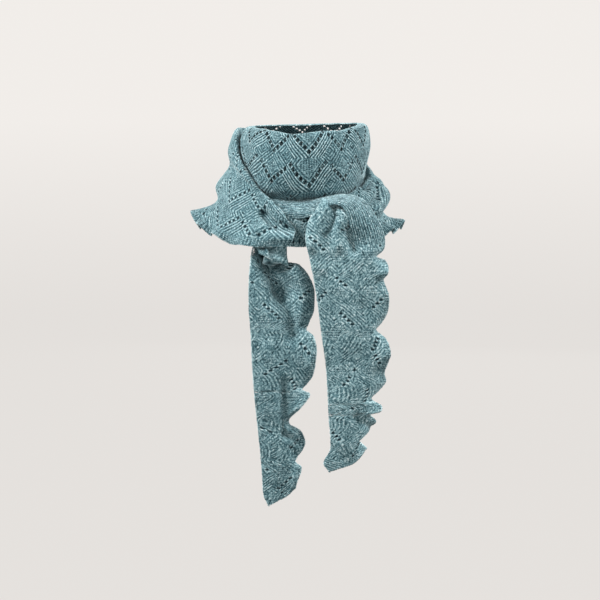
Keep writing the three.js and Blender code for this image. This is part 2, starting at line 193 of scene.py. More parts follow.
@dataclass(frozen=True)
class Chart:
    """Chevron lace, charted by the half stitch.

    Wide chevrons take turns with narrow ones along the scarf. Each has an arm of eyelets to each
    side of its point, and a smooth diamond above it. Ribs travel round the diamonds all over the
    cloth, and stand out most below the wide arms.
    """

    holes: Holes = Holes.OPEN
    start: tuple[int, int] = (0, 0)  # the first half stitch's place in the repeat, along and across
    contrast: float = 0.75  # painted highlight and shade: how much lighter the yarn is painted for each millimetre it stands out, and darker for each it sinks
    tone: float = 0.0  # painted light over the whole cloth: lighter above 0; painted shade, darker, below 0
    kept: float = 1.0  # the share of the eyelets' rows that haven't closed up
    edge_ribs: float = 12  # how many half stitches of plain ribs lie along the ruffle's edge
    half: float = 1.15  # half a stitch along the scarf, in millimetres
    course: float = 1.28  # half a stitch across it
    wide: int = 64  # the repeat along the scarf, in half stitches
    tall: int = 24  # the repeat across it
    wide_arm: int = 15  # how far the wide chevron's eyelets reach from its axis
    narrow_arm: int = 12
    ribs_from: int = 3  # how far below the arm the first travelling rib lies
    ribs_to: int = 15  # and the last
    ribs_under: int = 4  # how far below a chevron's point those ribs go on
    ribs_apart: int = 6  # and how far from the next chevron's axis they stop
    rib_step: int = 3
    rib: float = 0.42  # how far a rib stands out
    edge_rib: float = 0.16  # how far a rib of the ruffle stands out
    wale: float = 0.12  # how far a column of plain stitches stands out
    faint_rib: float = 0.26  # how far the other ribs stand out
    smooth_from: int = 7  # how far inside the arms the smooth diamonds begin
    eyelet_step: int = 3  # how many half stitches lie from one eyelet to the next
    gap: float = 0.9  # the share of its four squares that an eyelet takes up
    bulge: float = 1.12  # how much further its sides reach than its corners
    stretch: tuple[float, float] = (1.2, 1.45)  # how far it draws them open, along and across
    pit: float = 1.0  # how deep a closed eyelet is
    rim_sunk: float = 0.4  # how far its rim sinks with it, as a share
    beside: float = 0.4  # how far the yarn beside an eyelet stands out, as a share of a rib
    edge_fade: float = 3  # how many half stitches the edge's ribs fade over
    pulled_rib: float = 0.24  # how far a rib of the knot stands out
    pulled_step: float = 2  # and how many half stitches lie from one to the next
    pulled_painted_shade: float = 0.1  # painted shade: how much darker the yarn of the knot's band is painted, for the shade it lies in
    corner_painted_light: float = 0.9  # painted highlight: how light the yarn is painted at an eyelet's corners
    side_painted_shade: float = 0.3  # and painted shade: how dark at its sides
    uneven: float = 0.09  # how far the yarn strays, in millimetres

    def place(self, i: Array, j: Array) -> tuple[Array, Array, Array]:
        """Where a half stitch lies in the repeat.

        Args:
            i: half stitches along the scarf.
            j: half stitches across it, from the ruffle's edge.

        Returns:
            How far it is from a wide chevron's axis and from a narrow one's, and how far above
            their points it lies.
        """
        along = (i + self.start[0] + self.wide // 2) % self.wide
        from_wide = np.abs(along - self.wide // 2)
        return from_wide, self.wide // 2 - from_wide, (j + self.start[1]) % self.tall

    def drawn_open(self, i: Array, j: Array) -> Array:
        """Whether the chevron's arm at half stitch i along and j across hasn't closed up."""
        # 17 keeps the closed arms of one row from lying over those of the next.
        arm = (i + self.start[0]) // (self.wide // 4) + 17 * ((j + self.start[1]) // self.tall)
        return np.mod(GOLDEN * arm, 1.0) < self.kept

    def eyelets(self, i: Array, j: Array) -> Array:
        """Which half stitches are the middle of an eyelet.

        Args:
            i: half stitches along the scarf.
            j: half stitches across it, from the ruffle's edge.

        Returns:
            Whether each half stitch is one.
        """
        wide, narrow, above = self.place(i, j)
        holes = np.zeros(above.shape, bool)
        for from_axis, arm in ((wide, self.wide_arm), (narrow, self.narrow_arm)):
            holes |= (above == from_axis) & (from_axis % self.eyelet_step == 0) & (from_axis <= arm)
        return holes & self.drawn_open(i, j)

    def relief(self, i: Array, j: Array) -> tuple[Array, Array]:
        """How far each half stitch stands out, before the yarn's unevenness.

        Args:
            i: half stitches along the scarf.
            j: half stitches across it, from the ruffle's edge.

        Returns:
            The height in millimetres, negative in the grooves, and where the travelling ribs
            are: 1 where they climb along the scarf and -1 where they fall.
        """
        wide, narrow, above = self.place(i, j)
        climbing = np.where((i + self.start[0]) % self.wide < self.wide // 2, 1.0, -1.0)
        from_wide = wide + np.abs(above - self.wide_arm) - self.wide_arm
        from_narrow = narrow + np.abs(above - self.narrow_arm) - self.narrow_arm
        by_wide = from_wide <= from_narrow
        from_arm = np.minimum(from_wide, from_narrow)
        height = self.faint_rib * np.cos(2 * np.pi * from_arm / self.rib_step)
        rising = above < np.where(by_wide, self.wide_arm, self.narrow_arm)
        ribs = climbing * np.where(by_wide == rising, 1.0, -1.0)
        plain = from_arm <= -self.smooth_from
        height = np.where(plain, self.wale * np.where(i % 2 == 0, 1.0, -1.0), height)
        ridge = self.rib * np.cos(2 * np.pi * (wide - above) / self.rib_step)
        for level in (above, above - self.tall):
            below = wide - level
            ribbed = (below >= self.ribs_from - 1) & (below <= self.ribs_to + 1)
            ribbed &= (level >= -self.ribs_under) & (level <= self.tall // 2 + 1)
            ribbed &= wide <= self.wide // 2 - self.ribs_apart
            height, ribs = np.where(ribbed, ridge, height), np.where(ribbed, climbing, ribs)
        beside = (np.abs(above - wide) == 1) & (wide <= self.wide_arm + 1)
        beside |= (np.abs(above - narrow) == 1) & (narrow <= self.narrow_arm + 1)
        height = np.where(beside & self.drawn_open(i, j), self.beside * self.rib, height)
        share = smooth((self.edge_ribs - j) / self.edge_fade + 0.5)
        ribs = np.where(plain | (share > 0.5), 0.0, ribs)
        return height * (1 - share) + share * self.edge_rib * np.cos(np.pi * i), ribs


# ---- The stitches along the edges ---------------------------------------------------------------


class Edge(Enum):
    """A free edge of a stretch of cloth."""

    HEM = "the ruffle's edge"
    SELVAGE = "the long edge opposite"
    START = "the first row"
    END = "the last row"


@dataclass(frozen=True)
class EdgeStitches:
    """The chain of small stitches that finishes a free edge, laid along it by Geometry Nodes."""

    pitch: float = 2.3  # from one stitch to the next, in millimetres
    long: float = 2.9
    thick: float = 1.6
    uneven: float = 0.2  # how far their sizes stray from these, as a share
    seed: int = 5
    shade: float = 0.62  # how light the yarn is painted: one even middle value, without painted highlight and shade

    def tree(self, finish: bpy.types.Material) -> bpy.types.NodeTree:
        """The tree that lays a stitch at each step along the lines of a mesh.

        Args:
            finish: the material of the yarn.

        Returns:
            The tree. Its sizes are inputs, in metres.
        """
        tree = bpy.data.node_groups.new("edge stitches", "GeometryNodeTree")
        tree.interface.new_socket("Edge", in_out="INPUT", socket_type="NodeSocketGeometry")
        for size in ("Pitch", "Length", "Thickness", "Unevenness"):
            tree.interface.new_socket(size, in_out="INPUT", socket_type="NodeSocketFloat")
        tree.interface.new_socket("Seed", in_out="INPUT", socket_type="NodeSocketInt")
        tree.interface.new_socket("Stitches", in_out="OUTPUT", socket_type="NodeSocketGeometry")
        given = add(tree, "NodeGroupInput").outputs
        line = add(tree, "GeometryNodeMeshToCurve", values={"Mesh": given["Edge"]})
        values = {"Curve": line, "Length": given["Pitch"]}
        steps = add(tree, "GeometryNodeCurveToPoints", {"mode": "LENGTH"}, values).outputs
        values = {2: -1.0, 3: 1.0, "Seed": given["Seed"]}
        chance = add(tree, "FunctionNodeRandomValue", {"data_type": "FLOAT"}, values).outputs[1]
        values = {0: chance, 1: given["Unevenness"], 2: 1.0}
        share = add(tree, MATH, {"operation": "MULTIPLY_ADD"}, values)
        values = {0: given["Thickness"], 1: given["Thickness"], 2: given["Length"]}
        size = add(tree, "ShaderNodeCombineXYZ", values=values)
        scale = add(tree, "ShaderNodeVectorMath", {"operation": "SCALE"}, {0: size, "Scale": share})
        stitch = add(tree, "GeometryNodeMeshIcoSphere", values={"Radius": 0.5, "Subdivisions": 1})
        values = {
            "Points": steps["Points"],
            "Instance": stitch,
            "Rotation": steps["Rotation"],
            "Scale": scale,
        }
        laid = add(tree, "GeometryNodeInstanceOnPoints", values=values)
        real = add(tree, "GeometryNodeRealizeInstances", values={0: laid})
        values = {"Geometry": real, "Material": finish}
        dressed = add(tree, "GeometryNodeSetMaterial", values=values)
        add(tree, "NodeGroupOutput", values={"Stitches": dressed})
        return tree

    def build(
        self, name: str, lines: Sequence[Array], closed: bool, finish: bpy.types.Material
    ) -> bpy.types.Object:
        """Makes the chains along the lines as one object.

        Args:
            name: the object's name.
            lines: the points of each edge, in millimetres.
            closed: whether the edges are rings.
            finish: the material of the yarn.

        Returns:
            The object, riding on the part's body.
        """
        joins, count = [], 0
        for line in lines:
            joins += [(count + k, count + k + 1) for k in range(len(line) - 1)]
            joins += [(count + len(line) - 1, count)] if closed else []
            count += len(line)
        mesh = bpy.data.meshes.new(name)
        mesh.from_pydata((np.concatenate(lines) * MM).tolist(), joins, [])
        piece = bpy.data.objects.new(name, mesh)
        bpy.context.scene.collection.objects.link(piece)
        chain = piece.modifiers.new("stitches", "NODES")
        chain.node_group = self.tree(finish)
        inputs = {
            "Pitch": self.pitch * MM,
            "Length": self.long * MM,
            "Thickness": self.thick * MM,
            "Unevenness": self.uneven,
            "Seed": self.seed,
        }
        for socket in chain.node_group.interface.items_tree:
            if socket.name in inputs:
                chain[socket.identifier] = inputs[socket.name]
        seen = piece.evaluated_get(bpy.context.evaluated_depsgraph_get())
        made = bpy.data.meshes.new_from_object(seen)
        piece.modifiers.clear()
        piece.data = made
        made.shade_smooth()
        # The stitches carry the same painted light attribute as the cloth, at that one value.
        shade = made.attributes.new("shade", "FLOAT", "POINT")
        shade.data.foreach_set("value", np.full(len(made.vertices), self.shade, np.float32))
        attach(piece, "root")
        return piece


# ---- Cloth --------------------------------------------------------------------------------------


RIB_FIRST = 9  # how much a rib counts over a level diagonal where a square is split


def triangle_mesh(
    name: str, vertices: Array, faces: Array, uv: Array, marks: dict[str, Array]
) -> bpy.types.Mesh:
    """A smooth mesh of triangles.

    Args:
        name: the mesh's name.
        vertices: the points, in metres.
        faces: the three points of each triangle.
        uv: the cloth's own place at each corner of each triangle.
        marks: the values of named attributes at each point.

    Returns:
        The mesh.
    """
    mesh = bpy.data.meshes.new(name)
    mesh.vertices.add(len(vertices))
    mesh.vertices.foreach_set("co", vertices.astype(np.float32).ravel())
    mesh.loops.add(faces.size)
    mesh.loops.foreach_set("vertex_index", faces.astype(np.int32).ravel())
    mesh.polygons.add(len(faces))
    mesh.polygons.foreach_set("loop_start", np.arange(0, faces.size, 3, dtype=np.int32))
    mesh.uv_layers.new(name="cloth").data.foreach_set("uv", uv.astype(np.float32).ravel())
    for attribute, values in marks.items():
        store = mesh.attributes.new(attribute, "FLOAT", "POINT")
        store.data.foreach_set("value", values.astype(np.float32))
    mesh.update(calc_edges=True)
    mesh.validate()
    mesh.shade_smooth()
    return mesh


@dataclass
class Grid:
    """A grid of half stitches in space. A ring closes along its rows.

    A slit (row, column) cuts the cloth beside that column, above that row. The column is held
    twice: once for each side of the slit.
    """

    points: Array  # (rows, columns, 3), in millimetres
    normals: Array
    i: Array  # half stitches along the scarf, (rows, columns)
    j: Array  # half stitches across it, from the ruffle's edge
    pulled: Array | None = None  # how far, from 0 to 1, the lace is pulled into plain ribs
    bare: Array | None = None  # where there is no cloth
    ring: bool = False
    slit: tuple[int, int] | None = None
    seed: int = 1  # of the yarn's unevenness

    def corners(self) -> Array:
        """The corners of every square of cloth.

        Returns:
            Their (row, column), shaped (squares, 4, 2).
        """
        rows, columns = self.i.shape
        down, across = np.meshgrid(
            np.arange(rows if self.ring else rows - 1), np.arange(columns - 1), indexing="ij"
        )
        cloth = np.ones(down.shape, bool)
        if self.slit:
            cloth[:, self.slit[1]] = False
        if self.bare is not None:
            none = self.bare | np.roll(self.bare, -1, axis=0)
            cloth &= ~(none[:, :-1] | none[:, 1:])[: len(cloth)]
        down, across = down[cloth], across[cloth]
        return np.stack(
            [down, across, down + 1, across, down + 1, across + 1, down, across + 1], axis=-1
        ).reshape(-1, 4, 2)

    def edge(self, which: Edge) -> Array:
        """The points along an edge of the cloth.

        Args:
            which: the edge.

        Returns:
            The points in order, in millimetres.
        """
        bare = np.zeros(self.i.shape, bool) if self.bare is None else self.bare
        if which is Edge.HEM:
            return self.points[:, -1]
        if which is Edge.START:
            return self.points[0, ~bare[0]]
        if which is Edge.END:
            return self.points[-1, ~bare[-1]]
        first = np.argmax(~bare, axis=1)
        rows = np.flatnonzero(first < (self.slit[1] if self.slit else bare.shape[1]))
        return self.points[rows, first[rows]]

    def number(self, places: Array) -> Array:
        """The number of the point at each place of the grid.

        Args:
            places: (row, column) in the last axis.

        Returns:
            The numbers. Both sides of the slit have the same ones below its end.
        """
        rows, columns = self.i.shape
        row, column = places[..., 0] % rows, places[..., 1]
        if self.slit:
            joined = (column == self.slit[1] + 1) & (row >= self.slit[0])
            column = np.where(joined, self.slit[1], column)
        return row * columns + column

    def drawn(self, chart: Chart) -> tuple[Array, Array, Array]:
        """The lace as it lies on this cloth.

        Args:
            chart: the lace.

        Returns:
            How far each half stitch stands out, where the travelling ribs are, and which half
            stitches are the middle of an eyelet.
        """
        relief, ribbed = chart.relief(self.i, self.j)
        holes = chart.eyelets(self.i, self.j) & (self.j > chart.edge_ribs)
        if chart.holes is Holes.NONE:
            holes = np.zeros_like(holes)
        if self.pulled is not None:
            plain = chart.pulled_rib * np.cos(2 * np.pi * self.j / chart.pulled_step)
            relief += self.pulled * (plain - relief)
            ribbed = np.where(self.pulled > 0.5, 0.0, ribbed)
            holes &= self.pulled < 0.5
        # An eyelet keeps clear of every edge and of the slit.
        if self.bare is not None:
            for shift in (-2, -1, 0, 1, 2):
                holes &= ~np.roll(self.bare, (shift, 2), axis=(0, 1))
                holes &= ~np.roll(self.bare, (shift, 0), axis=(0, 1))
        holes[:, :3] = holes[:, -3:] = False
        if not self.ring:
            holes[:3] = holes[-3:] = False
        if self.slit:
            holes[:, self.slit[1] - 1 : self.slit[1] + 3] = False
        relief += np.random.default_rng(self.seed).normal(0, chart.uneven, relief.shape)
        return relief, ribbed, holes

    def shades(self, chart: Chart, relief: Array, holes: Array) -> Array:
        """The painted light of the yarn at each half stitch.

        Args:
            chart: the lace.
            relief: how far each half stitch stands out.
            holes: which half stitches are the middle of an eyelet.

        Returns:
            The painted light: about 0 in the grooves (painted shade) and 1 on the ridges (painted
                highlight).
        """
        shade = np.clip(0.5 + relief * chart.contrast, 0, 1) + chart.tone
        # Painted shade over the band of the knot.
        if self.pulled is not None:
            shade -= chart.pulled_painted_shade * self.pulled
        # Painted shade at the sides of each eyelet, painted highlight at its corners.
        row, column = np.nonzero(holes)
        for down in (-1, 0, 1):
            for across in (-1, 0, 1):
                light = chart.corner_painted_light if down * across else chart.side_painted_shade
                shade[(row + down) % len(shade), column + across] = light + chart.tone
        return shade

    def open_eyelets(
        self, chart: Chart, middle: Array, points: Array
    ) -> tuple[Array, Array, Array]:
        """Draws the cloth open round its eyelets, and gives each of them a rim of eight points.

        Args:
            chart: the lace.
            middle: the (row, column) of each eyelet.
            points: every point of the cloth, by its number. The ones round an eyelet are moved.

        Returns:
            The (row, column) of the eight points round each eyelet, those of its rim, and the
            points of the rim.
        """
        around = np.array([(-1, -1), (0, -1), (1, -1), (1, 0), (1, 1), (0, 1), (-1, 1), (-1, 0)])
        round_gap = np.where(np.abs(around).sum(axis=1) == 2, chart.gap, chart.gap * chart.bulge)
        share = round_gap[:, None]
        outer = middle[:, None] + around
        number = self.number(outer)
        centre = points[self.number(middle)][:, None]
        for axis, (low, high) in enumerate(((7, 3), (1, 5))):
            step = (points[number[:, high]] - points[number[:, low]]) / 2
            points[number] += (chart.stretch[axis] - 1) * around[:, axis, None] * step[:, None]
        rim = centre + share * (points[number] - centre)
        return outer, middle[:, None] + share * around, rim

    def mesh(self, name: str, chart: Chart) -> bpy.types.Mesh:
        """The mesh of the cloth, with its lace raised and its eyelets open.

        Args:
            name: the mesh's name.
            chart: the lace.

        Returns:
            The mesh, in metres. Its UV map holds the cloth's own lengths in millimetres.
        """
        relief, ribbed, holes = self.drawn(chart)
        shade = self.shades(chart, relief, holes)
        raised = self.points + self.normals * relief[..., None]
        if self.slit:
            row, column = self.slit
            raised[row:, column + 1] = raised[row:, column]
        points = raised.reshape(-1, 3)

        # The squares round an eyelet's middle give way to a ring of eight.
        middle = np.argwhere(holes)
        outer, inner, rim = self.open_eyelets(chart, middle, points)
        rows = len(holes)
        cut = np.zeros(holes.shape, bool)
        for down in (-1, 0):
            for across in (-1, 0):
                cut[(middle[:, 0] + down) % rows, middle[:, 1] + across] = True
        corners = self.corners()
        corners = corners[~cut[corners[:, 0, 0] % rows, corners[:, 0, 1]]]
        inner_number = len(points) + np.arange(len(middle) * 8).reshape(-1, 8)
        following = np.roll(np.arange(8), -1)
        quads, places = [self.number(corners)], [corners]
        rings = ((self.number(outer), inner_number, quads), (outer, inner, places))
        for out, within, into in rings:
            ring = np.stack([out, out[:, following], within[:, following], within], axis=2)
            into.append(ring.reshape(-1, 4, *ring.shape[3:]))
        rim = rim.reshape(-1, 3)
        if chart.holes is Holes.SHUT:
            floor = self.number(middle)
            normals = self.normals[middle[:, 0], middle[:, 1]]
            points[floor] -= normals * chart.pit
            rim -= chart.rim_sunk * chart.pit * np.repeat(normals, 8, axis=0)
            # Painted shade: the floor of each closed eyelet is painted darkest.
            shade.reshape(-1)[floor] = 0.0
            for k in (0, 2, 4, 6):
                three = [k, (k + 1) % 8, (k + 2) % 8]
                quads.append(np.column_stack([inner_number[:, three], floor]))
                places.append(np.concatenate([inner[:, three], middle[:, None]], axis=1))

        # Each square is split along the rib that crosses it, or along its more level diagonal.
        squares = np.concatenate(quads)
        uv = np.concatenate(places) * np.array([chart.half, chart.course])
        # The eyelets' rims are painted darkest: painted shade in the holes.
        shades = np.concatenate([shade.ravel(), np.zeros(len(rim))])
        ribs = np.concatenate([ribbed.ravel(), np.zeros(len(rim))])
        first = np.abs(shades[squares[:, 0]] - shades[squares[:, 2]])
        second = np.abs(shades[squares[:, 1]] - shades[squares[:, 3]])
        second -= RIB_FIRST * ribs[squares].sum(axis=1)
        order = np.where((first <= second)[:, None], [0, 1, 2, 0, 2, 3], [1, 2, 3, 1, 3, 0])
        faces = np.take_along_axis(squares, order, axis=1)
        uv = np.take_along_axis(uv, order[..., None], axis=1).reshape(-1, 2)
        used, faces = np.unique(faces, return_inverse=True)
        vertices = np.concatenate([points, rim])[used] * MM
        marks = {"shade": shades[used], "ribbed": np.abs(ribs[used])}
        return triangle_mesh(name, vertices, faces.reshape(-1, 3), uv, marks)


@dataclass(frozen=True)
class Drift:
    """How hand-knitted stitches stray from even rows: in a long wave that carries a shorter one."""

    most: float = 1.5  # how far they stray, in millimetres
    share: float = 0.1  # and how far in narrow cloth, as a share of its width
    along: float = 47  # the length of the wave in which they stray along the scarf
    across: float = 58  # and of the one in which they stray across it
    turn: float = 7  # how far, in radians, that wave turns over the width
    long: float = 0.65  # how much of it is the long wave
    short: float = 0.35  # and the shorter one
    shorter: float = 1.8  # how many short waves lie in a long one
    turned: float = 1.4  # how much further they turn

    def wave(self, u: Array, turn: Array | float, waves: float) -> Array:
        """The wave in which the stitches stray.

        Args:
            u: the share of the scarf's length.
            turn: an angle to turn the wave by.
            waves: about how many waves lie in the whole length.

        Returns:
            Shares of the way they stray, from -1 to 1, that repeat round a ring.
        """
        long, short = round(waves), round(waves * self.shorter)
        wave = self.long * np.sin(2 * np.pi * long * u + turn)
        return wave + self.short * np.sin(2 * np.pi * short * u - self.turned * turn)


@dataclass
class Cloth:
    """One stretch of the scarf: a form, its folds and its lace."""

    name: str
    nodes: tuple[str, ...]
    rows: int  # half stitches along the scarf
    columns: int  # half stitches across it where it is widest
    spread: bool = False  # whether the columns share the width evenly, and don't lie a course apart
    root: int | None = None  # the sections' control point at the ruffle's root
    chart: Chart = field(default_factory=Chart)
    folds: tuple[Fold, ...] = ()
    ring: bool = False
    thickness: float = 1.2
    held: str = "draped"
    edges: tuple[Edge, ...] = (Edge.HEM, Edge.SELVAGE)  # the ones that show
    drift: Drift = Drift()
    cut_area: float | None = None  # in square metres, where the cut isn't a rectangle

    def flat(self) -> tuple[float, float]:
        """The flat cloth's width and length in metres, from its counts of half stitches."""
        return self.columns * self.chart.course * MM, self.rows * self.chart.half * MM

    def sections(self, u: Array) -> Array:
        """The control points of the sections at shares of the length."""
        raise NotImplementedError

    def across(self, points: Array) -> Array:
        """The coordinate, beside the height, in which the folds are drawn."""
        return points[..., 0]

    def wave(self, u: Array, out: Array) -> Array:
        """How far the ruffle leaves the form: this cloth has no waves."""
        return np.zeros(np.broadcast(u, out).shape)

    def normals(self, points: Array) -> Array:
        """The normals of a grid of points.

        Args:
            points: the grid, shaped (rows, columns, 3).

        Returns:
            The unit normals on the side away from the neck.
        """
        if self.ring:
            along = np.roll(points, -1, axis=0) - np.roll(points, 1, axis=0)
        else:
            along = np.gradient(points, axis=0)
        normals = unit(np.cross(along, np.gradient(points, axis=1)))
        away = (normals[..., :2] * points[..., :2]).sum()
        return normals * np.sign(away)

    def form(self, u: Array) -> tuple[Array, Array, Array]:
        """The smooth form, half stitch by half stitch from the ruffle's edge.

        Args:
            u: shares of the length.

        Returns:
            The points, shaped (len(u), columns + 1, 3), how far out each is on the ruffle, from
            0 to 1, and which of them lie beyond the cloth.
        """
        control = self.sections(u)
        last = control.shape[1] - 1
        steps = 48 * last + 1  # fine enough to measure the section by
        fine = np.broadcast_to(np.linspace(0, 1, steps), (len(u), steps))
        reached = lengths(through(control, fine))
        whole = reached[:, -1:]
        stitches = np.arange(self.columns, -1, -1)
        if self.spread:
            bare = np.zeros((len(u), self.columns + 1), bool)
            at = whole * (1 - stitches / self.columns)
        else:
            bare = (stitches - 1) * self.chart.course >= whole
            at = np.maximum(whole - stitches * self.chart.course, 0)

        # The stitches stray across the scarf, but not at its edges.
        most = np.minimum(self.drift.most, self.drift.share * whole) * np.sin(np.pi * at / whole)
        turn = self.drift.turn * stitches / self.columns
        waves = self.rows * self.chart.half / self.drift.across
        at = at + most * self.drift.wave(u[:, None], turn, waves)
        shares = np.stack([np.interp(a, r, f) for a, r, f in zip(at, reached, fine)])
        out = np.zeros(shares.shape)
        if self.root is not None:
            out = np.clip((shares * last - self.root) / (last - self.root), 0, 1)
        return through(control, shares), out, bare

    def folded(self, points: Array, out: Array, u: Array) -> Array:
        """The form with its folds and its ruffle.

        Args:
            points: the smooth form.
            out: how far out each point is on the ruffle.
            u: the share of the length at each row.

        Returns:
            The moved points.
        """
        lift = self.wave(u[:, None], out)
        for fold in self.folds:
            lift += fold.lift(self.across(points), points[..., 2])
        return points + self.normals(points) * lift[..., None]

    def grid(self) -> Grid:
        """The cloth as a grid of half stitches.

        Returns:
            The grid.
        """
        u = np.arange(self.rows) / self.rows if self.ring else np.linspace(0, 1, self.rows + 1)
        length = self.rows * self.chart.half
        u = u + self.drift.most / length * self.drift.wave(u, 0.0, length / self.drift.along)
        points, out, bare = self.form(u)
        points = self.folded(points, out, u)
        i, j = np.meshgrid(np.arange(len(u)), np.arange(self.columns + 1)[::-1], indexing="ij")
        return Grid(points, self.normals(points), i, j, bare=bare, ring=self.ring)

    def build(self, finish: bpy.types.Material) -> bpy.types.Object:
        """Makes the piece's object.

        Args:
            finish: the material of the cloth.

        Returns:
            The object, riding on the part's body.
        """
        grid = self.grid()
        piece = bpy.data.objects.new(self.name, grid.mesh(self.name, self.chart))
        bpy.context.scene.collection.objects.link(piece)
        piece.data.materials.append(finish)
        shell = piece.modifiers.new("shell", "SOLIDIFY")
        shell.thickness = self.thickness * MM
        shell.offset = 0  # half of it to each side
        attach(piece, "root")
        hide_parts(*self.nodes)
        lines = [grid.edge(which) for which in self.edges]
        stitches = EdgeStitches().build(self.name + "_edge", lines, self.ring, finish)
        self.flat()
        counts = 2 * len(piece.data.polygons), len(stitches.data.polygons)
        log.info("%s: %d triangles, and %d in its edge", self.name, *counts)
        return piece


# ---- The turn round the neck --------------------------------------------------------------------


@dataclass
class NeckBand(Cloth):
    """The turn round the neck: a ring that rolls over at the rim and turns under at its foot."""

    middle_r: float = 68  # where an angle round the neck is turned into a length
    table: Table = Table(
        "angle rimR rimZ browR browZ bellyR bellyZ edgeR edgeZ footR footZ",
        [-180, 55, 116, 63, 115, 70, 100, 69, 82, 64, 74],
        [-135, 54, 116, 62.5, 114, 69, 99, 68, 81, 63, 74],
        [-95, 52, 116, 61, 113, 66.5, 97, 66, 78, 62, 70],
        [-70, 52, 115, 61, 112, 67, 92, 67, 73, 62, 66],
        [-50, 53, 114, 61, 110, 68, 86, 68, 65, 63, 59],
        [-38, 54, 113, 62, 110, 69, 84, 71, 60, 65, 49],
        [-15, 55, 112, 63, 109.5, 71, 81, 72, 55, 58, 44],
        [10, 55, 112, 63, 109.5, 71, 81, 71, 54, 58, 44],
        [35, 55, 113.5, 63, 111, 69, 86, 69, 58, 63, 45],
        [60, 55, 116, 63, 114, 66, 92, 64, 66, 60, 48],
        [90, 54, 119, 63, 116, 66, 97, 62, 78, 59, 56],
        [135, 54, 118, 63, 116, 69, 99, 66, 80, 61, 67],
        [180, 55, 116, 63, 115, 70, 100, 69, 82, 64, 74],
    )

    def sections(self, u: Array) -> Array:
        """The control points of the sections.

        Args:
            u: shares of the length.

        Returns:
            The points, shaped (len(u), control points, 3).
        """
        angle = (360 * u + 180) % 360 - 180
        read = self.table.read
        return np.stack(
            [
                round_neck(angle, read(name + "R", angle), read(name + "Z", angle))
                for name in ("rim", "brow", "belly", "edge", "foot")
            ],
            axis=1,
        )

    def across(self, points: Array) -> Array:
        """The length round the neck from the front."""
        return np.arctan2(points[..., 0], -points[..., 1]) * self.middle_r


def neck_band() -> NeckBand:
    """The turn round the neck, with shallow hollows where it settles.

    Returns:
        The turn, ready to build.
    """
    return NeckBand(
        name="neck_turn",
        nodes=("neck_band",),
        rows=384,
        columns=60,
        spread=True,
        # Painted shade over the whole turn, and strong painted highlight and shade on its relief.
        chart=Chart(start=(-3, 7), edge_ribs=-4, tone=-0.09, contrast=1.0),
        folds=(
            Fold(((-14, 106), (0, 84), (6, 66)), 16, -3.0),
            Fold(((46, 108), (56, 82)), 9, -1.6),
            Fold(((-62, 104), (-52, 88)), 9, 1.5),
            Fold(((-40, 76), (-22, 70)), 8, 1.2),
            Fold(((24, 100), (34, 70)), 10, 1.0),
        ),
        ring=True,
        held="draped",
        edges=(Edge.SELVAGE,),
    )


# ---- The outer turn -----------------------------------------------------------------------------


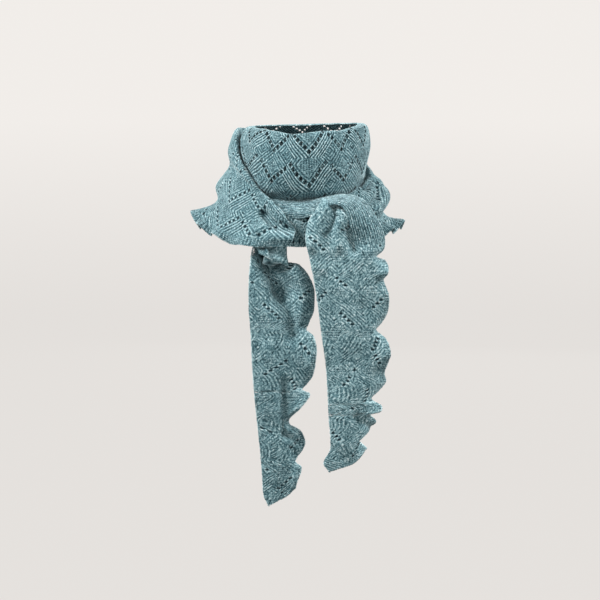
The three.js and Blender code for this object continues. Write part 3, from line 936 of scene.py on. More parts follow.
@dataclass
class OuterTurn(Cloth):
    """The turn over the shoulders: a roll along its upper edge, a cape, and the ruffle below."""

    middle_r: float = 86  # where an angle from the front is turned into a length
    hem_r: float = 105  # where the lengths along the ruffle are measured
    wave_length: float = 32
    wave_height: float = 6
    uneven: float = 0.9  # how far, in radians, the waves come early or late
    beat: float = 2.7  # over how many of them
    calm: float = 0.2  # the share of their height that they have at the calm front end
    calm_to: float = 90  # the length over which they rise from there
    # By angle from the front and round by -X: from the edge tucked against the neck, over the top.
    roll: Table = Table(
        "angle tuckR tuckZ rollR rollZ sideR sideZ",
        [15, 80, 29, 83.5, 34, 87, 31],
        [26, 75, 41, 78.5, 46, 82, 43],
        [36, 71, 49, 74.5, 54, 78, 52],
        [43, 71, 54, 74, 62, 77.5, 60],
        [52, 71.5, 60, 73.5, 73, 77.5, 69],
        [60, 71, 64, 73.5, 82, 78, 76],
        [70, 69.5, 72, 72, 92, 77.5, 83],
        [80, 67.5, 80, 70, 102, 77.5, 90],
        [92, 66.5, 88, 69.5, 109.5, 77.5, 93],
        [105, 68, 92, 72, 113, 79, 95],
        [120, 71, 93, 75, 113.5, 81, 96],
        [150, 73.5, 92, 77, 110, 83, 93],
        [180, 74, 89, 78, 106, 84, 90],
        [215, 73, 82, 76, 97, 80, 84],
        [232, 70, 75, 72, 87, 75, 77],
        [247, 67, 66, 69, 76, 71, 71],
        [262, 65, 62, 67, 72, 69, 69],
        [277, 65, 60, 67, 70, 70, 67],
        [294, 66, 56, 69, 65, 72, 62],
        [310, 67, 50, 70, 57, 73, 54],
        [326, 68, 42, 71, 48, 75, 45],
    )
    # By the same angle: below the roll. The lean turns the end's edge towards the front.
    cape: Table = Table(
        "angle waistR waistZ slopeR slopeZ rootR rootZ hemR hemZ lean",
        [15, 88, 27, 91, 19, 92, 12, 93, 2, 8],
        [26, 83, 38, 88, 26, 95, 11, 98, 1, 4],
        [36, 78.5, 48, 87, 31, 97, 13, 103, 1, 1],
        [43, 77, 55, 87, 38, 98, 16, 104, 2.5, 0],
        [52, 75.5, 63, 86, 46, 98, 20, 106, 7, 0],
        [60, 75.5, 69, 86, 52, 98, 25, 109, 11, 0],
        [70, 76, 74, 86, 57, 96, 33, 112, 17, 0],
        [80, 76.5, 75, 88, 56, 91, 38, 113.5, 21, 0],
        [92, 76.5, 76, 90, 56, 89, 40, 113, 25, 0],
        [105, 78, 76, 88, 60, 92, 40, 110, 22, 0],
        [125, 79, 76, 88, 60, 92, 40, 107, 22, 0],
        [150, 81, 75, 90, 60, 94, 42, 106, 25, 0],
        [180, 82, 74, 90, 59, 94, 42, 106, 26, 0],
        [215, 80, 68, 87, 54, 91, 36, 103, 20, 0],
        [232, 75, 64, 82, 49, 85, 31, 99, 14, 0],
        [247, 72, 63, 79, 49, 80, 28, 98, 12, 0],
        [262, 72, 63, 79.5, 50, 78, 28, 100, 15, 0],
        [277, 74, 61, 82.5, 49, 80, 29, 101, 18, 0],
        [294, 76, 56, 84, 45, 83, 27, 99, 14, 0],
        [310, 77, 49, 85, 38, 87, 22, 97, 10, 0],
        [326, 78, 40, 83, 31, 86, 16, 92, 6, 0],
    )

    def sections(self, u: Array) -> Array:
        """The control points of the sections.

        Args:
            u: shares of the length.

        Returns:
            The points, shaped (len(u), control points, 3).
        """
        angle = self.cape.first + (self.cape.last - self.cape.first) * u
        lean = self.cape.read("lean", angle)
        stations = (
            (self.roll, "tuck", 0),
            (self.roll, "roll", 0),
            (self.roll, "side", 0.2),
            (self.cape, "waist", 0.4),
            (self.cape, "slope", 1),
            (self.cape, "root", 1),
            (self.cape, "hem", 0.7),
        )
        return np.stack(
            [
                round_neck(
                    part * lean - angle, table.read(name + "R", angle), table.read(name + "Z", angle)
                )
                for table, name, part in stations
            ],
            axis=1,
        )

    def across(self, points: Array) -> Array:
        """The length round the neck from the front, by way of -X."""
        return np.mod(np.arctan2(-points[..., 0], -points[..., 1]), 2 * np.pi) * self.middle_r

    def wave(self, u: Array, out: Array) -> Array:
        """How far the ruffle leaves the form.

        Args:
            u: the share of the length.
            out: the share of the way out from the ruffle's root.

        Returns:
            The move along the normal, in millimetres.
        """
        along = np.radians(self.cape.last - self.cape.first) * u * self.hem_r
        turn = 2 * np.pi * along / self.wave_length
        risen = smooth(along / self.calm_to)
        swing = np.sin(turn + self.uneven * np.sin(turn / self.beat))
        return self.wave_height * (self.calm + (1 - self.calm) * risen) * out**2 * swing


def outer_turn() -> OuterTurn:
    """The turn over the shoulders, with the pleats that gather towards the knot.

    Returns:
        The turn, ready to build.
    """
    middle_r = OuterTurn.middle_r
    pleats = (
        (((306, 57), (296, 61), (286, 65)), 3.5, -5),
        (((313, 37), (303, 43), (295, 49), (287, 57)), 4, -6),
        (((302, 51), (288, 58), (276, 60)), 5, 3),
        (((300, 34), (285, 42), (268, 48)), 7, 4.5),
        (((29, 33), (23, 26), (17, 21), (7, 18)), 4.5, -8),
        (((36, 7), (28, 19)), 5, 2.5),
        (((76, 32), (80, 22)), 4.5, -4),
        (((19, 10), (8, 9)), 5, 4),
    )
    return OuterTurn(
        name="shoulder_turn",
        nodes=("outer_turn",),
        rows=416,
        columns=104,
        root=5,
        chart=Chart(
            # Painted shade over the whole turn, and painted highlight and shade on its relief.
            holes=Holes.SHUT, start=(8, 18), edge_ribs=6, rib=0.36, contrast=0.9, tone=-0.05
        ),
        folds=tuple(
            Fold(tuple((math.radians(angle) * middle_r, z) for angle, z in line), reach, height)
            for line, reach, height in pleats
        ),
        held="draped",
        edges=(Edge.HEM, Edge.SELVAGE, Edge.START),
    )


# ---- Bands given by their two edges -------------------------------------------------------------


@dataclass
class Band(Cloth):
    """A band between two edges, with its middle pushed to the front by its puff."""

    table: Table = Table(
        "step ax ay az bx by bz puff", [0, 0, 0, 0, 1, 0, 0, 0], [1, 0, 0, 1, 1, 0, 1, 0]
    )

    def sections(self, u: Array) -> Array:
        """The control points of the sections.

        Args:
            u: shares of the length.

        Returns:
            The points, shaped (len(u), control points, 3).
        """
        step = self.table.first + (self.table.last - self.table.first) * u
        a, b = self.table.point("a", step), self.table.point("b", step)
        puff = self.table.read("puff", step)[:, None] * np.array([0.0, -1.0, 0.0])
        parts = ((0, 0), (0.25, 0.8), (0.5, 1), (0.75, 0.8), (1, 0))
        return np.stack([a + share * (b - a) + part * puff for share, part in parts], axis=1)


def knot_strip() -> Band:
    """The strip behind the knot that joins the left tail to it.

    Returns:
        The strip, ready to build.
    """
    return Band(
        name="strip_behind_knot",
        nodes=("knot_strip",),
        edges=(Edge.HEM,),
        rows=52,
        columns=18,
        spread=True,
        chart=Chart(holes=Holes.SHUT, edge_ribs=-4),
        table=Table(
            "step ax ay az bx by bz puff",
            [0, -44, -62, 20, -42, -66, 2, 1],
            [1, -30, -65, 28, -30, -70.5, 0, 1],
            [2, -15, -68.5, 31, -15, -73.5, 0, 1],
            [3, 0, -72, 29, -1, -76, 0, 1],
            [4, 14, -74, 26, 12, -78, 3, 1],
        ),
    )


def knot_flap() -> Band:
    """The three-cornered flap between the outer turn and the knot.

    Returns:
        The flap, ready to build.
    """
    return Band(
        name="flap_in_knot",
        nodes=("knot_flap",),
        edges=(Edge.SELVAGE,),
        rows=26,
        columns=26,
        spread=True,
        cut_area=0.0006,
        chart=Chart(holes=Holes.SHUT, edge_ribs=-4),
        table=Table(
            "step ax ay az bx by bz puff",
            [0, -29, -69, 35, 12, -70, 35, 0],
            [1, -17, -75, 27, 9, -76, 26, 1],
            [2, -8, -78.5, 17, 5, -79.5, 14, 0.6],
            [3, -1, -80.5, 8, 1, -80.5, 7, 0],
        ),
    )


def tail_turn() -> Band:
    """The turn of cloth above the left tail.

    Returns:
        The turn, ready to build.
    """
    return Band(
        name="turn_above_left_tail",
        nodes=("left_tail_turn",),
        edges=(Edge.END,),
        rows=16,
        columns=24,
        spread=True,
        # Painted light: the turn above the left tail is painted a little lighter.
        chart=Chart(holes=Holes.NONE, edge_ribs=-4, rib=0.2, faint_rib=0.2, tone=0.04),
        folds=(Fold(((-47, -4), (-38, -8), (-30, -11), (-17, -16)), 3.5, 3),),
        table=Table(
            "step ax ay az bx by bz puff",
            [0, -50, -74, 6, -18, -77, 6, 0.5],
            [1, -49, -82, -1, -18, -82, -7, 1],
            [2, -45, -86, -7, -17.5, -86, -19, 2],
        ),
    )


# ---- Tails --------------------------------------------------------------------------------------


TAIL_CHART = Chart(
    holes=Holes.SHUT,
    kept=0.45,
    edge_ribs=4,
    pit=0.8,
    rib=0.22,
    faint_rib=0.15,
    uneven=0.14,
    # Painted light over the tails and the band, and painted highlight and shade on their relief.
    contrast=0.95,
    tone=0.035,
)


@dataclass
class Tail(Cloth):
    """A hanging tail, from its straight edge to the ruffle's root and out to the ruffle's edge."""

    table: Table = Table("drop edgeX edgeY rootX rootY fall", [0, 0, 0, 1, 0, 0], [1, 0, 0, 1, 0, 0])
    ruffle: Table = Table("drop x lift", [0, 2, 0], [1, 2, 0])
    puff: float = 1.5  # how far its middle stands forward of its edges
    curl: float = 1.6  # how many times its lift the ruffle really stands forward
    root_fall: float = 0.3  # the share of the ruffle's fall that its root takes
    flare_back: float = 0.3  # how far the ruffle's middle stays back, as a share of its reach
    flare_drop: float = 0.35  # how far down it lies between the root and the ruffle's edge

    def sections(self, u: Array) -> Array:
        """The control points of the sections.

        Args:
            u: shares of the length.

        Returns:
            The points, shaped (len(u), control points, 3).
        """
        drop = self.table.first + (self.table.last - self.table.first) * u
        read = {name: self.table.read(name, drop) for name in self.table.names[1:]}
        hem_drop = drop + read["fall"]
        edge = np.stack([read["edgeX"], read["edgeY"], -drop], axis=-1)
        root_z = -drop - self.root_fall * read["fall"]
        root = np.stack([read["rootX"], read["rootY"], root_z], axis=-1)
        hem = np.stack(
            [
                self.ruffle.read("x", hem_drop),
                read["rootY"] - self.curl * self.ruffle.read("lift", hem_drop),
                -hem_drop,
            ],
            axis=-1,
        )
        middle = (edge + root) / 2
        middle[:, 1] -= self.puff
        flare = (root + hem) / 2
        flare[:, 1] += self.flare_back * (root[:, 1] - hem[:, 1])
        flare[:, 2] = root[:, 2] + self.flare_drop * (hem[:, 2] - root[:, 2])
        return np.stack([edge, middle, root, flare, hem], axis=1)


def left_tail() -> Tail:
    """The left tail, from under the hem of the outer turn.

    Returns:
        The tail, ready to build.
    """
    return Tail(
        name="left_tail_cloth",
        nodes=("left_tail",),
        edges=(Edge.HEM, Edge.SELVAGE, Edge.END),
        rows=220,
        columns=56,
        root=2,
        # Painted shade: the left tail is painted a shade darker than the right.
        chart=replace(TAIL_CHART, tone=-0.01),
        held="hung",
        table=Table(
            "drop edgeX edgeY rootX rootY fall",
            [-2, -51, -74, -36, -74, 8],
            [8, -53, -81, -29, -79, 12],
            [18, -54, -87, -22, -86, 12],
            [34, -55, -93, -17, -89, 6],
            [60, -55, -97, -14, -93, 0],
            [85, -53, -100, -12, -97, 0],
            [110, -52, -102, -13, -100, 0],
            [140, -50, -104, -17, -102, 0],
            [170, -47, -105, -20, -104, 0],
            [200, -44, -106, -20, -105, 0],
            [226, -42, -107, -20, -106, -2],
            [244, -40.5, -107, -22, -107, -8],
            [254, -36, -107, -26, -107, -17],
        ),
        ruffle=Table(
            "drop x lift",
            [6, -44, 0],
            [14, -24, 0],
            [20, -8, 0],
            [28, 2, -1],
            [38, 7, -4],
            [50, 8, -6],
            [64, 6, -7],
            [76, 3, -6],
            [81, 1, -2],
            [86, 7.5, 3],
            [98, 11, 5],
            [112, 10, 3],
            [126, 7, -1],
            [135, 1, -3],
            [140, -3.5, 0],
            [142.5, 4.5, 4],
            [156, -4, 3],
            [167, -13.5, -3],
            [176, -14, -8],
            [182, -5, -8],
            [193, 0, -7],
            [204, -5, -4],
            [210, -10, 0],
            [216, -4, 3],
            [227, -7, 2],
            [237, -10, 0],
        ),
        folds=(
            Fold(((-34, -8), (-30, -26), (-23, -42)), 11, -16),
            Fold(((-23, -42), (-15, -60), (-13, -84)), 8, -8),
            Fold(((-10, -24), (0, -40), (2, -62)), 8, 4),
            Fold(((-22, -134), (-20, -182)), 5, -5),
            Fold(((-20, -184), (-6, -192)), 4, -4),
            Fold(((-13, -198), (-6, -209)), 4, -3),
            Fold(((-38, -100), (-34, -160)), 10, 1.6),
            Fold(((-32, -190), (-26, -225)), 8, 1.8),
        ),
    )


@dataclass
class FrontTail(Tail):
    """The right tail and the band that ties the scarf, as one cloth.

    The band's columns go on down as the tail's outer ones. The tail's inner columns end behind the
    band, so a slit runs beside their last column from the top down to where the two have met.
    """

    band: Band | None = None
    band_rows: int = 1
    slit_column: int = 1  # the tail's last inner column
    slit_drop: float = 0.0  # where the two sides have met
    meet_from: float = -28.0  # where the band starts to settle into the tail
    meet_drop: float = -3.5  # the drop at the band's last section
    tucked: tuple[float, float] = (7.0, 4.2)  # the inner side's reach behind the band, in X and Y
    moved_columns: int = 18  # how many of the inner side's columns move with its edge
    pulled_to: tuple[float, float] = (-16.0, 8.0)  # the drops over which the knot's ribs give way

    def flat(self) -> tuple[float, float]:
        """The flat cloth's width and length in metres, with the narrower band at its end."""
        width, length = super().flat()
        return width, length + self.band_rows * self.chart.half * MM

    def tie(self, extra: int) -> Array:
        """The points of the band, with its rows evenly spaced along its middle.

        Args:
            extra: how many rows it goes on straight beyond its last section.

        Returns:
            The points, shaped (rows, columns, 3).
        """
        fine = np.linspace(0, 1, 400)  # fine enough to measure the band by
        reached = lengths(self.band.form(fine)[0][:, self.band.columns // 2])
        even = np.linspace(0, reached[-1], self.band_rows + 1)
        band = self.band.form(np.interp(even, reached, fine))[0][:, ::-1]
        slope = (band[-1] - band[-4]) / 3  # from one row to the next, over the last three
        return np.concatenate([band, band[-1] + slope * np.arange(1, extra + 1)[:, None, None]])

    def grid(self) -> Grid:
        """The tail and the band as one grid, with the slit between them.

        Returns:
            The grid.
        """
        u = np.linspace(0, 1, self.rows + 1)
        tail, out, tail_bare = self.form(u)
        tail = self.folded(tail, out, u)
        tail_normals = self.normals(tail)
        drop = self.table.first + (self.table.last - self.table.first) * u
        step = drop[1] - drop[0]

        # The band ends on the tail's row at the same height, and goes on to the slit's end.
        shared = int(round((self.meet_drop - drop[0]) / step))
        settle = int(round((self.slit_drop - drop[0]) / step))
        band = self.tie(settle - shared)
        inner = self.slit_column + 1
        rows = len(band) + len(tail) - settle - 1
        first = rows - len(tail)
        outer_side = np.empty((rows, tail.shape[1] - self.slit_column, 3))
        outer_side[: len(band)] = band
        outer_side[len(band) :] = tail[settle + 1 :, self.slit_column :]
        into = np.arange(first, len(band))
        share = smooth((drop[into - first] - self.meet_from) / (self.slit_drop - self.meet_from))
        settled = tail[into - first, self.slit_column :]
        outer_side[into] += share[:, None, None] * (settled - outer_side[into])
        outer_normals = self.normals(outer_side)
        joined = len(band) - 1
        outer_normals[joined:] = tail_normals[settle:, self.slit_column :]

        # Above the slit's end the inner side reaches on behind the band's edge.
        hidden = 1 - smooth((into - first) / (joined - first))[:, None]
        target = outer_side[into, 0] + hidden * np.array([*self.tucked, 0.0])
        moved = target - tail[into - first, self.slit_column]
        near = smooth((np.arange(inner) - self.slit_column) / self.moved_columns + 1)
        tail[into - first, :inner] += near[None, :, None] * moved[:, None]
        tail_normals = self.normals(tail)

        points = np.zeros((rows, tail.shape[1] + 1, 3))
        normals = np.zeros_like(points)
        points[first:, :inner], normals[first:, :inner] = tail[:, :inner], tail_normals[:, :inner]
        points[:, inner:], normals[:, inner:] = outer_side, outer_normals
        columns = np.r_[0:inner, self.slit_column : tail.shape[1]]
        i, column = np.meshgrid(np.arange(rows), columns, indexing="ij")
        bare = np.zeros(i.shape, bool)
        bare[:first, :inner] = True
        bare[first:, :inner] = tail_bare[:, :inner]
        bare[joined:, inner:] = tail_bare[settle:, self.slit_column :]
        fade = 1 - smooth((drop - self.pulled_to[0]) / (self.pulled_to[1] - self.pulled_to[0]))
        pulled = np.zeros(i.shape)
        pulled[:, inner:] = 1
        pulled[first:, inner:] = fade[:, None]
        return Grid(
            points,
            normals,
            i,
            self.columns - column,
            pulled=pulled,
            bare=bare,
            slit=(joined, self.slit_column),
        )


def front_tail() -> FrontTail:
    """The right tail with the band that ties the scarf.

    Returns:
        The tail and its band, ready to build.
    """
    rows, columns = 224, 70
    band_rows, band_columns = 120, 27
    stitches = rows * columns + band_rows * band_columns
    band = Band(
        name="band",
        nodes=(),
        rows=0,
        columns=band_columns,
        spread=True,
        table=Table(
            "step ax ay az bx by bz puff",
            [0, -44, -48, 46, -46, -60, 36, 1],
            [1, -27, -56, 46, -27, -70, 31, 3],
            [2, -9, -60, 45.8, -9, -77, 27.5, 5],
            [3, 7, -61, 46.7, 8, -83, 31, 6],
            [4, 22, -64, 48.7, 24, -88, 41, 6],
            [5, 40, -65, 50.8, 34, -90, 41, 6],
            [6, 57, -67, 46, 40, -92, 35, 5],
            [7, 68, -76, 33, 43, -93, 26, 4],
            [8, 74, -85, 19, 46, -94, 13, 3],
            [9, 76, -92, 6, 48, -97, 1, 2],
        ),
    )
    return FrontTail(
        name="right_tail_and_tie",
        nodes=("right_tail", "tie_band"),
        edges=(Edge.HEM, Edge.SELVAGE, Edge.END),
        rows=rows,
        columns=columns,
        root=2,
        chart=TAIL_CHART,
        held="hung",
        band=band,
        band_rows=band_rows,
        slit_column=columns - band_columns,
        cut_area=stitches * TAIL_CHART.half * TAIL_CHART.course * MM**2,
        table=Table(
            "drop edgeX edgeY rootX rootY fall",
            [-47, 18, -74, 42, -74, 0],
            [-40, 14, -82, 44, -83, 0],
            [-30, 6, -85.5, 50, -86, 0],
            [-20, 2, -88, 56, -88, 0],
            [-8, 1, -90, 60, -91, 0],
            [6, 4, -93, 62, -96, 0],
            [26, 8, -97, 64, -98, 0],
            [56, 13, -99, 65, -100, 0],
            [88, 17, -101, 64, -102, 0],
            [112, 20.5, -103, 62, -103, 0],
            [140, 22.5, -105, 57, -105, -1],
            [170, 24, -107, 52, -106, -4],
            [190, 25.5, -108, 48, -107, -9],
            [200, 24.5, -108, 47, -108, -14],
            [212, 18.5, -108, 46, -108, -19],
            [220, 24, -108, 46, -108, -24],
        ),
        ruffle=Table(
            "drop x lift",
            [-46, 76, -4],
            [-24, 79, -5],
            [-6, 79, -7],
            [3, 77, -8],
            [10, 70, -9],
            [13, 79, -5],
            [24, 81, 3],
            [31, 77, -3],
            [47, 82, -1],
            [64, 81, -6],
            [75, 75, -9],
            [82, 70, -8],
            [89, 79, 0],
            [102, 83.5, 5],
            [113, 81, 0],
            [124, 78, -5],
            [133, 79.5, -8],
            [142, 72, -7],
            [149, 65, -3],
            [154, 74.5, 4],
            [160, 73, 5],
            [163, 64, 0],
            [172, 70, -6],
            [182, 64, -8],
            [188, 51, -6],
            [196, 60, 4],
            [206, 55, 5],
        ),
        folds=(
            Fold(((20, 38), (14, 26), (9, 13), (6, 2)), 7, 5),
            Fold(((27, 42), (29, 33), (28, 25), (24, 17), (17, 12)), 2.3, -4),
            Fold(((34, 36), (33, 20), (33, 2)), 6, 4.5),
            Fold(((41, 26), (44, 12), (48, -2)), 4.5, -4.5),
            Fold(((10, 4), (14, -18)), 9, 2.5),
            Fold(((30, -40), (46, -92)), 14, 1.8),
            Fold(((56, -60), (50, -120)), 9, -2),
            Fold(((30, -150), (40, -190)), 9, 1.8),
            Fold(((50, -167), (66, -178)), 4.5, -3.5),
        ),
    )


# ---- Finishes -----------------------------------------------------------------------------------


def colour(hex_code: str) -> tuple[float, float, float, float]:
    """An sRGB hex colour as a linear colour."""
    parts = [int(hex_code[k : k + 2], 16) / 255 for k in (1, 3, 5)]
    return (*(c / 12.92 if c <= 0.04045 else ((c + 0.055) / 1.055) ** 2.4 for c in parts), 1.0)


def add(
    tree: bpy.types.NodeTree,
    kind: str,
    settings: dict[str, Any] | None = None,
    values: dict[str | int, Any] | None = None,
) -> bpy.types.Node:
    """Adds a node.

    Args:
        tree: the tree to add it to.
        kind: the node's type.
        settings: its own properties.
        values: its inputs, each a value, the output that feeds it, or a node for its first output.

    Returns:
        The node.
    """
    node = tree.nodes.new(kind)
    for key, value in (settings or {}).items():
        setattr(node, key, value)
    for key, value in (values or {}).items():
        if isinstance(value, bpy.types.Node):
            value = value.outputs[0]
        if isinstance(value, bpy.types.NodeSocket):
            tree.links.new(value, node.inputs[key])
        else:
            node.inputs[key].default_value = value
    return node


@dataclass(frozen=True)
class Mottle:
    """A soft unevenness of the colour."""

    size: float  # in millimetres
    detail: float
    roughness: float
    strength: float  # how much lighter it makes the yarn at the most


@dataclass(frozen=True)
class WoolKnit:
    """Fine wool yarn, knitted by hand: matt, with a soft sheen of fibres, painted shade in the gaps
    and painted highlight on the strands.
    """

    # The colours run from painted shade in the grooves and eyelets, through the yarn's own colours,
    # to painted highlight on the ridges; the last is also the sheen's tint.
    groove_painted_shade: str = "#142e36"
    ground: str = "#4b6f77"
    yarn: str = "#94b3b8"
    sheen_and_painted_highlight: str = "#d3e4e6"
    ground_at: float = 0.35  # how light the cloth is where it has the ground's colour
    yarn_at: float = 0.7
    wale: float = 2.3  # the width of a column of stitches, in millimetres
    course: float = 1.7  # the height of a stitch
    roughness: float = 0.92
    specular: float = 0.2
    sheen: float = 0.35
    sheen_roughness: float = 0.5
    stray: float = 3.0  # how far the stitches stray from straight columns
    stray_size: float = 7.0  # and over what length they do, in millimetres
    stitch_painted_shade: float = 0.5  # how much lighter a stitch's strand is painted than the painted shade in the gap beside it
    ribbed_tone: float = -0.25  # how much that changes where the mesh has ribs of its own
    stitch_mean: float = 0.32  # how light the stitches are on average
    painted_light_gain: float = 1.15  # how much lighter the painted highlight on a ridge of the mesh is than the painted shade in the grooves
    darkest: float = -0.17
    # Real fibres are finer than half a millimetre, and are drawn as coarse as they need to show.
    fibre: Mottle = Mottle(0.5, 3.0, 0.6, 0.35)
    grain: Mottle = Mottle(1.6, 1.0, 0.5, 0.8)  # from one stitch to the next
    dye: Mottle = Mottle(9.0, 2.0, 0.5, 0.25)
    bump: float = 0.9  # how strongly the stitches stand out in the light
    bump_height: float = 0.5  # in millimetres

    def material(self) -> bpy.types.Material:
        """The material, with its stitches drawn on the cloth's own lengths.

        Returns:
            The material.
        """
        # Hand-knitted wool: scattered light and no gloss, V-shaped stitches with painted highlight
        # on their strands and painted shade between them, and painted highlight and shade from the
        # mesh's relief.
        made = bpy.data.materials.new("hand-knitted wool")
        made.use_nodes = True
        tree = made.node_tree
        shader = tree.nodes["Principled BSDF"]
        shader.inputs["Roughness"].default_value = self.roughness
        shader.inputs["Specular IOR Level"].default_value = self.specular
        shader.inputs["Sheen Weight"].default_value = self.sheen
        shader.inputs["Sheen Roughness"].default_value = self.sheen_roughness
        shader.inputs["Sheen Tint"].default_value = colour(self.sheen_and_painted_highlight)

        solid = add(tree, "ShaderNodeTexCoord").outputs["Object"]
        stitch = self.stitches(tree, solid)
        ribbed = add(tree, "ShaderNodeAttribute", {"attribute_name": "ribbed"}).outputs["Fac"]
        values = {0: ribbed, 1: self.ribbed_tone, 2: self.stitch_painted_shade}
        shown = add(tree, MATH, {"operation": "MULTIPLY_ADD"}, values)
        # The painted highlight and shade of the mesh's relief, from its shade attribute.
        shade = add(tree, "ShaderNodeAttribute", {"attribute_name": "shade"}).outputs["Fac"]
        values = {0: shade, 1: self.painted_light_gain, 2: self.darkest}
        light = add(tree, MATH, {"operation": "MULTIPLY_ADD"}, values)
        # Painted highlight on the stitches' strands, painted shade in the gaps between them.
        raised = add(tree, MATH, {"operation": "SUBTRACT"}, {0: stitch, 1: self.stitch_mean})
        light = add(tree, MATH, {"operation": "MULTIPLY_ADD"}, {0: raised, 1: shown, 2: light})
        mottles = {}
        for mottle in (self.fibre, self.grain, self.dye):
            values = {
                "Vector": solid,
                "Scale": 1 / (mottle.size * MM),
                "Detail": mottle.detail,
                "Roughness": mottle.roughness,
            }
            mottles[mottle] = add(tree, NOISE, values=values)
            uneven = add(tree, MATH, {"operation": "SUBTRACT"}, {0: mottles[mottle], 1: 0.5})
            values = {0: uneven, 1: mottle.strength, 2: light}
            light = add(tree, MATH, {"operation": "MULTIPLY_ADD"}, values)

        ramp = add(tree, "ShaderNodeValToRGB", values={0: light})
        stops = ramp.color_ramp.elements
        stops[0].color = colour(self.groove_painted_shade)
        stops[1].color = colour(self.sheen_and_painted_highlight)
        stops.new(self.ground_at).color = colour(self.ground)
        stops.new(self.yarn_at).color = colour(self.yarn)
        tree.links.new(ramp.outputs[0], shader.inputs["Base Color"])

        height = add(tree, MATH, {"operation": "MULTIPLY"}, {0: stitch, 1: shown})
        values = {0: mottles[self.fibre], 1: self.fibre.strength, 2: height}
        height = add(tree, MATH, {"operation": "MULTIPLY_ADD"}, values)
        values = {"Strength": self.bump, "Distance": self.bump_height * MM, "Height": height}
        bump = add(tree, "ShaderNodeBump", values=values)
        tree.links.new(bump.outputs[0], shader.inputs["Normal"])
        return made

    def stitches(self, tree: bpy.types.NodeTree, solid: bpy.types.NodeSocket) -> bpy.types.Node:
        """Draws the stitches: each column is two slanted strands that meet in a V.

        Args:
            tree: the material's tree.
            solid: the place in space.

        Returns:
            The node that gives 1 on a strand and 0 beside it.
        """
        values = {"Vector": solid, "Scale": 1 / (self.stray_size * MM), "Detail": 2.0}
        stray = add(tree, NOISE, values=values).outputs["Color"]
        cloth = add(tree, "ShaderNodeUVMap", {"uv_map": "cloth"})
        values = {0: stray, 1: (self.stray,) * 3, 2: cloth}
        moved = add(tree, "ShaderNodeVectorMath", {"operation": "MULTIPLY_ADD"}, values)
        place = add(tree, "ShaderNodeSeparateXYZ", values={0: moved}).outputs
        column = add(tree, MATH, {"operation": "DIVIDE"}, {0: place[0], 1: self.wale})
        within = add(tree, MATH, {"operation": "FRACT"}, {0: column})
        offset = add(tree, MATH, {"operation": "SUBTRACT"}, {0: within, 1: 0.5})
        from_middle = add(tree, MATH, {"operation": "ABSOLUTE"}, {0: offset})
        row = add(tree, MATH, {"operation": "DIVIDE"}, {0: place[1], 1: self.course})
        slanted = add(tree, MATH, {"operation": "ADD"}, {0: row, 1: from_middle})
        up = add(tree, MATH, {"operation": "MULTIPLY"}, {0: slanted, 1: 2 * math.pi})
        wave = add(tree, MATH, {"operation": "SINE"}, {0: up})
        strand = add(tree, MATH, {"operation": "MULTIPLY_ADD"}, {0: wave, 1: 0.5, 2: 0.5})
        out = add(tree, MATH, {"operation": "MULTIPLY"}, {0: from_middle, 1: 2 * math.pi})
        side = add(tree, MATH, {"operation": "SINE"}, {0: out})
        return add(tree, MATH, {"operation": "MULTIPLY"}, {0: strand, 1: side})


@dataclass(frozen=True)
class BackgroundPaper:
    """Seamless background paper: quite matt, glowing by itself in place of being lit, a little
    darker on the floor than on the wall.
    """

    paper: str = "#f7f3ef"
    shaded: str = "#1c1c1b"  # what it gives back of the studio's lamps
    low: float = 0.82  # how brightly the paper glows on the floor
    high: float = 0.94  # and on the wall at the height of the origin

    def material(self, floor: float) -> bpy.types.Material:
        """The material.

        Args:
            floor: the height of the floor, in metres.

        Returns:
            The material, a little brighter on the wall than on the floor.
        """
        # Matt paper: no gloss and no shadow, one pale glow, a little darker on the floor.
        made = bpy.data.materials.new("background paper")
        made.use_nodes = True
        tree = made.node_tree
        shader = tree.nodes["Principled BSDF"]
        shader.inputs["Base Color"].default_value = colour(self.shaded)
        shader.inputs["Emission Color"].default_value = colour(self.paper)
        shader.inputs["Roughness"].default_value = 1.0
        shader.inputs["Specular IOR Level"].default_value = 0.0
        solid = add(tree, "ShaderNodeTexCoord").outputs["Object"]
        place = add(tree, "ShaderNodeSeparateXYZ", values={0: solid}).outputs
        values = {0: place[2], 1: floor, 2: 0.0, 3: self.low, 4: self.high}
        glow = add(tree, "ShaderNodeMapRange", values=values)
        tree.links.new(glow.outputs[0], shader.inputs["Emission Strength"])
        return made


# ---- The studio ---------------------------------------------------------------------------------


@dataclass(frozen=True)
class Lamp:
    """A square soft light."""

    name: str
    place: tuple[float, float, float]  # in metres
    size: float  # its side, in metres
    power: float  # in watts

    def hang(self, target: Vector) -> None:
        """Hangs the light.

        Args:
            target: the place it faces.
        """
        light = bpy.data.lights.new(self.name, "AREA")
        light.size, light.energy = self.size, self.power
        lamp = bpy.data.objects.new(self.name, light)
        lamp.location = self.place
        lamp.rotation_euler = (target - Vector(self.place)).to_track_quat("-Z", "Y").to_euler()
        lamp.visible_camera = False
        bpy.context.scene.collection.objects.link(lamp)


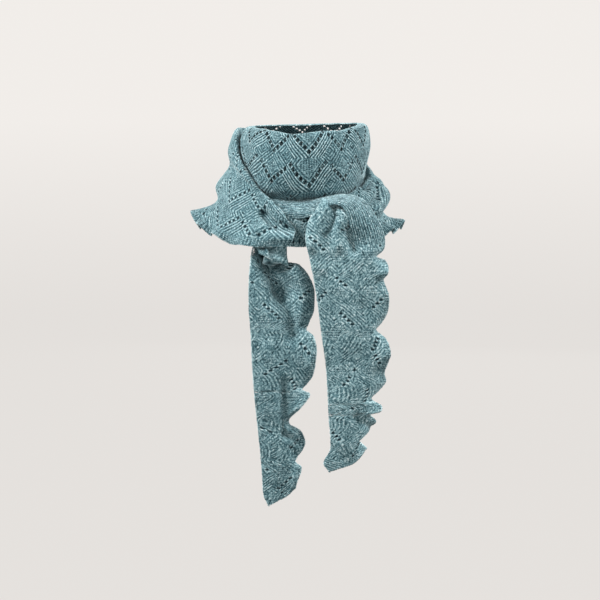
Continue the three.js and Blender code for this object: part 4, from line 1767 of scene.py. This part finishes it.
@dataclass(frozen=True)
class Studio:
    """A round pale floor that sweeps up into a wall, soft lights and the camera."""

    floor: float = -0.46  # its height, in metres
    flat_radius: float = 3.4
    sweep: float = 1.6  # the radius of the curve between the floor and the wall
    wall: float = 4.0  # how far the wall rises above the floor
    paper: BackgroundPaper = BackgroundPaper()
    lamps: tuple[Lamp, ...] = (
        Lamp("key", (-1.9, -0.6, 1.7), 0.9, 98),
        Lamp("second", (1.9, -0.5, 1.6), 1.0, 68),
        Lamp("fill", (0.2, -2.9, 0.0), 1.6, 14),
        Lamp("back", (0.4, 2.6, 0.5), 1.6, 30),
    )
    room: str = "#fbf8f5"
    room_light: float = 0.38
    target: tuple[float, float, float] = (-0.005, -0.060, -0.055)
    elevation: float = 6.0  # degrees
    distance: float = 2.29
    view_height: float = 0.6  # what the camera sees at the target, in metres

    def backdrop(self) -> None:
        """Makes the floor and the wall round it as one smooth bowl."""
        turn = np.linspace(0, math.pi / 2, 17)  # up the sweep
        outside = self.flat_radius + self.sweep
        radii = np.r_[0.0, self.flat_radius + self.sweep * np.sin(turn), outside]
        heights = np.r_[0.0, self.sweep * (1 - np.cos(turn)), self.wall] + self.floor
        around = np.radians(np.arange(0, 360, 5))  # and round the bowl
        count = len(around)
        vertices = [
            (r * math.cos(a), r * math.sin(a), z) for r, z in zip(radii, heights) for a in around
        ]
        faces = []
        for k in range(len(radii) - 1):
            for m in range(count):
                here, there = k * count, (k + 1) * count
                n = (m + 1) % count
                faces.append((here + m, there + m, there + n, here + n))
        mesh = bpy.data.meshes.new("backdrop")
        mesh.from_pydata(vertices, [], faces)
        mesh.shade_smooth()
        mesh.materials.append(self.paper.material(self.floor))
        bowl = bpy.data.objects.new("backdrop", mesh)
        bpy.context.scene.collection.objects.link(bowl)
        bowl.visible_diffuse = bowl.visible_shadow = bowl.visible_glossy = False

    def light(self) -> None:
        """Hangs the lamps and sets the room's own light."""
        for lamp in self.lamps:
            lamp.hang(Vector(self.target))
        world = bpy.data.worlds.new("studio")
        world.use_nodes = True
        background = world.node_tree.nodes["Background"]
        background.inputs["Color"].default_value = colour(self.room)
        background.inputs["Strength"].default_value = self.room_light
        bpy.context.scene.world = world

    def camera(self) -> None:
        """Sets the camera in front, a little above the scarf."""
        lens = bpy.data.cameras.new("camera")
        lens.sensor_width = 36.0
        lens.lens = lens.sensor_width * self.distance / self.view_height
        camera = bpy.data.objects.new("camera", lens)
        tilt = math.radians(self.elevation)
        back = Vector((0.0, -math.cos(tilt), math.sin(tilt)))
        camera.location = Vector(self.target) + back * self.distance
        camera.rotation_euler = (-back).to_track_quat("-Z", "Y").to_euler()
        bpy.context.scene.collection.objects.link(camera)
        bpy.context.scene.camera = camera

    def build(self) -> None:
        """Makes the camera, the backdrop and the lights."""
        self.camera()
        self.backdrop()
        self.light()
        bpy.context.scene.view_settings.view_transform = "Standard"


def main() -> None:
    """Builds the scarf, piece by piece, in its studio."""
    logging.basicConfig(level=logging.INFO, format="%(name)s: %(message)s")
    Studio().build()
    wool = WoolKnit().material()
    stretches: tuple[Cloth, ...] = (
        neck_band(),
        outer_turn(),
        front_tail(),
        left_tail(),
        tail_turn(),
        knot_strip(),
        knot_flap(),
    )
    for stretch in stretches:
        stretch.build(wool)


if __name__ == "__main__":
    main()
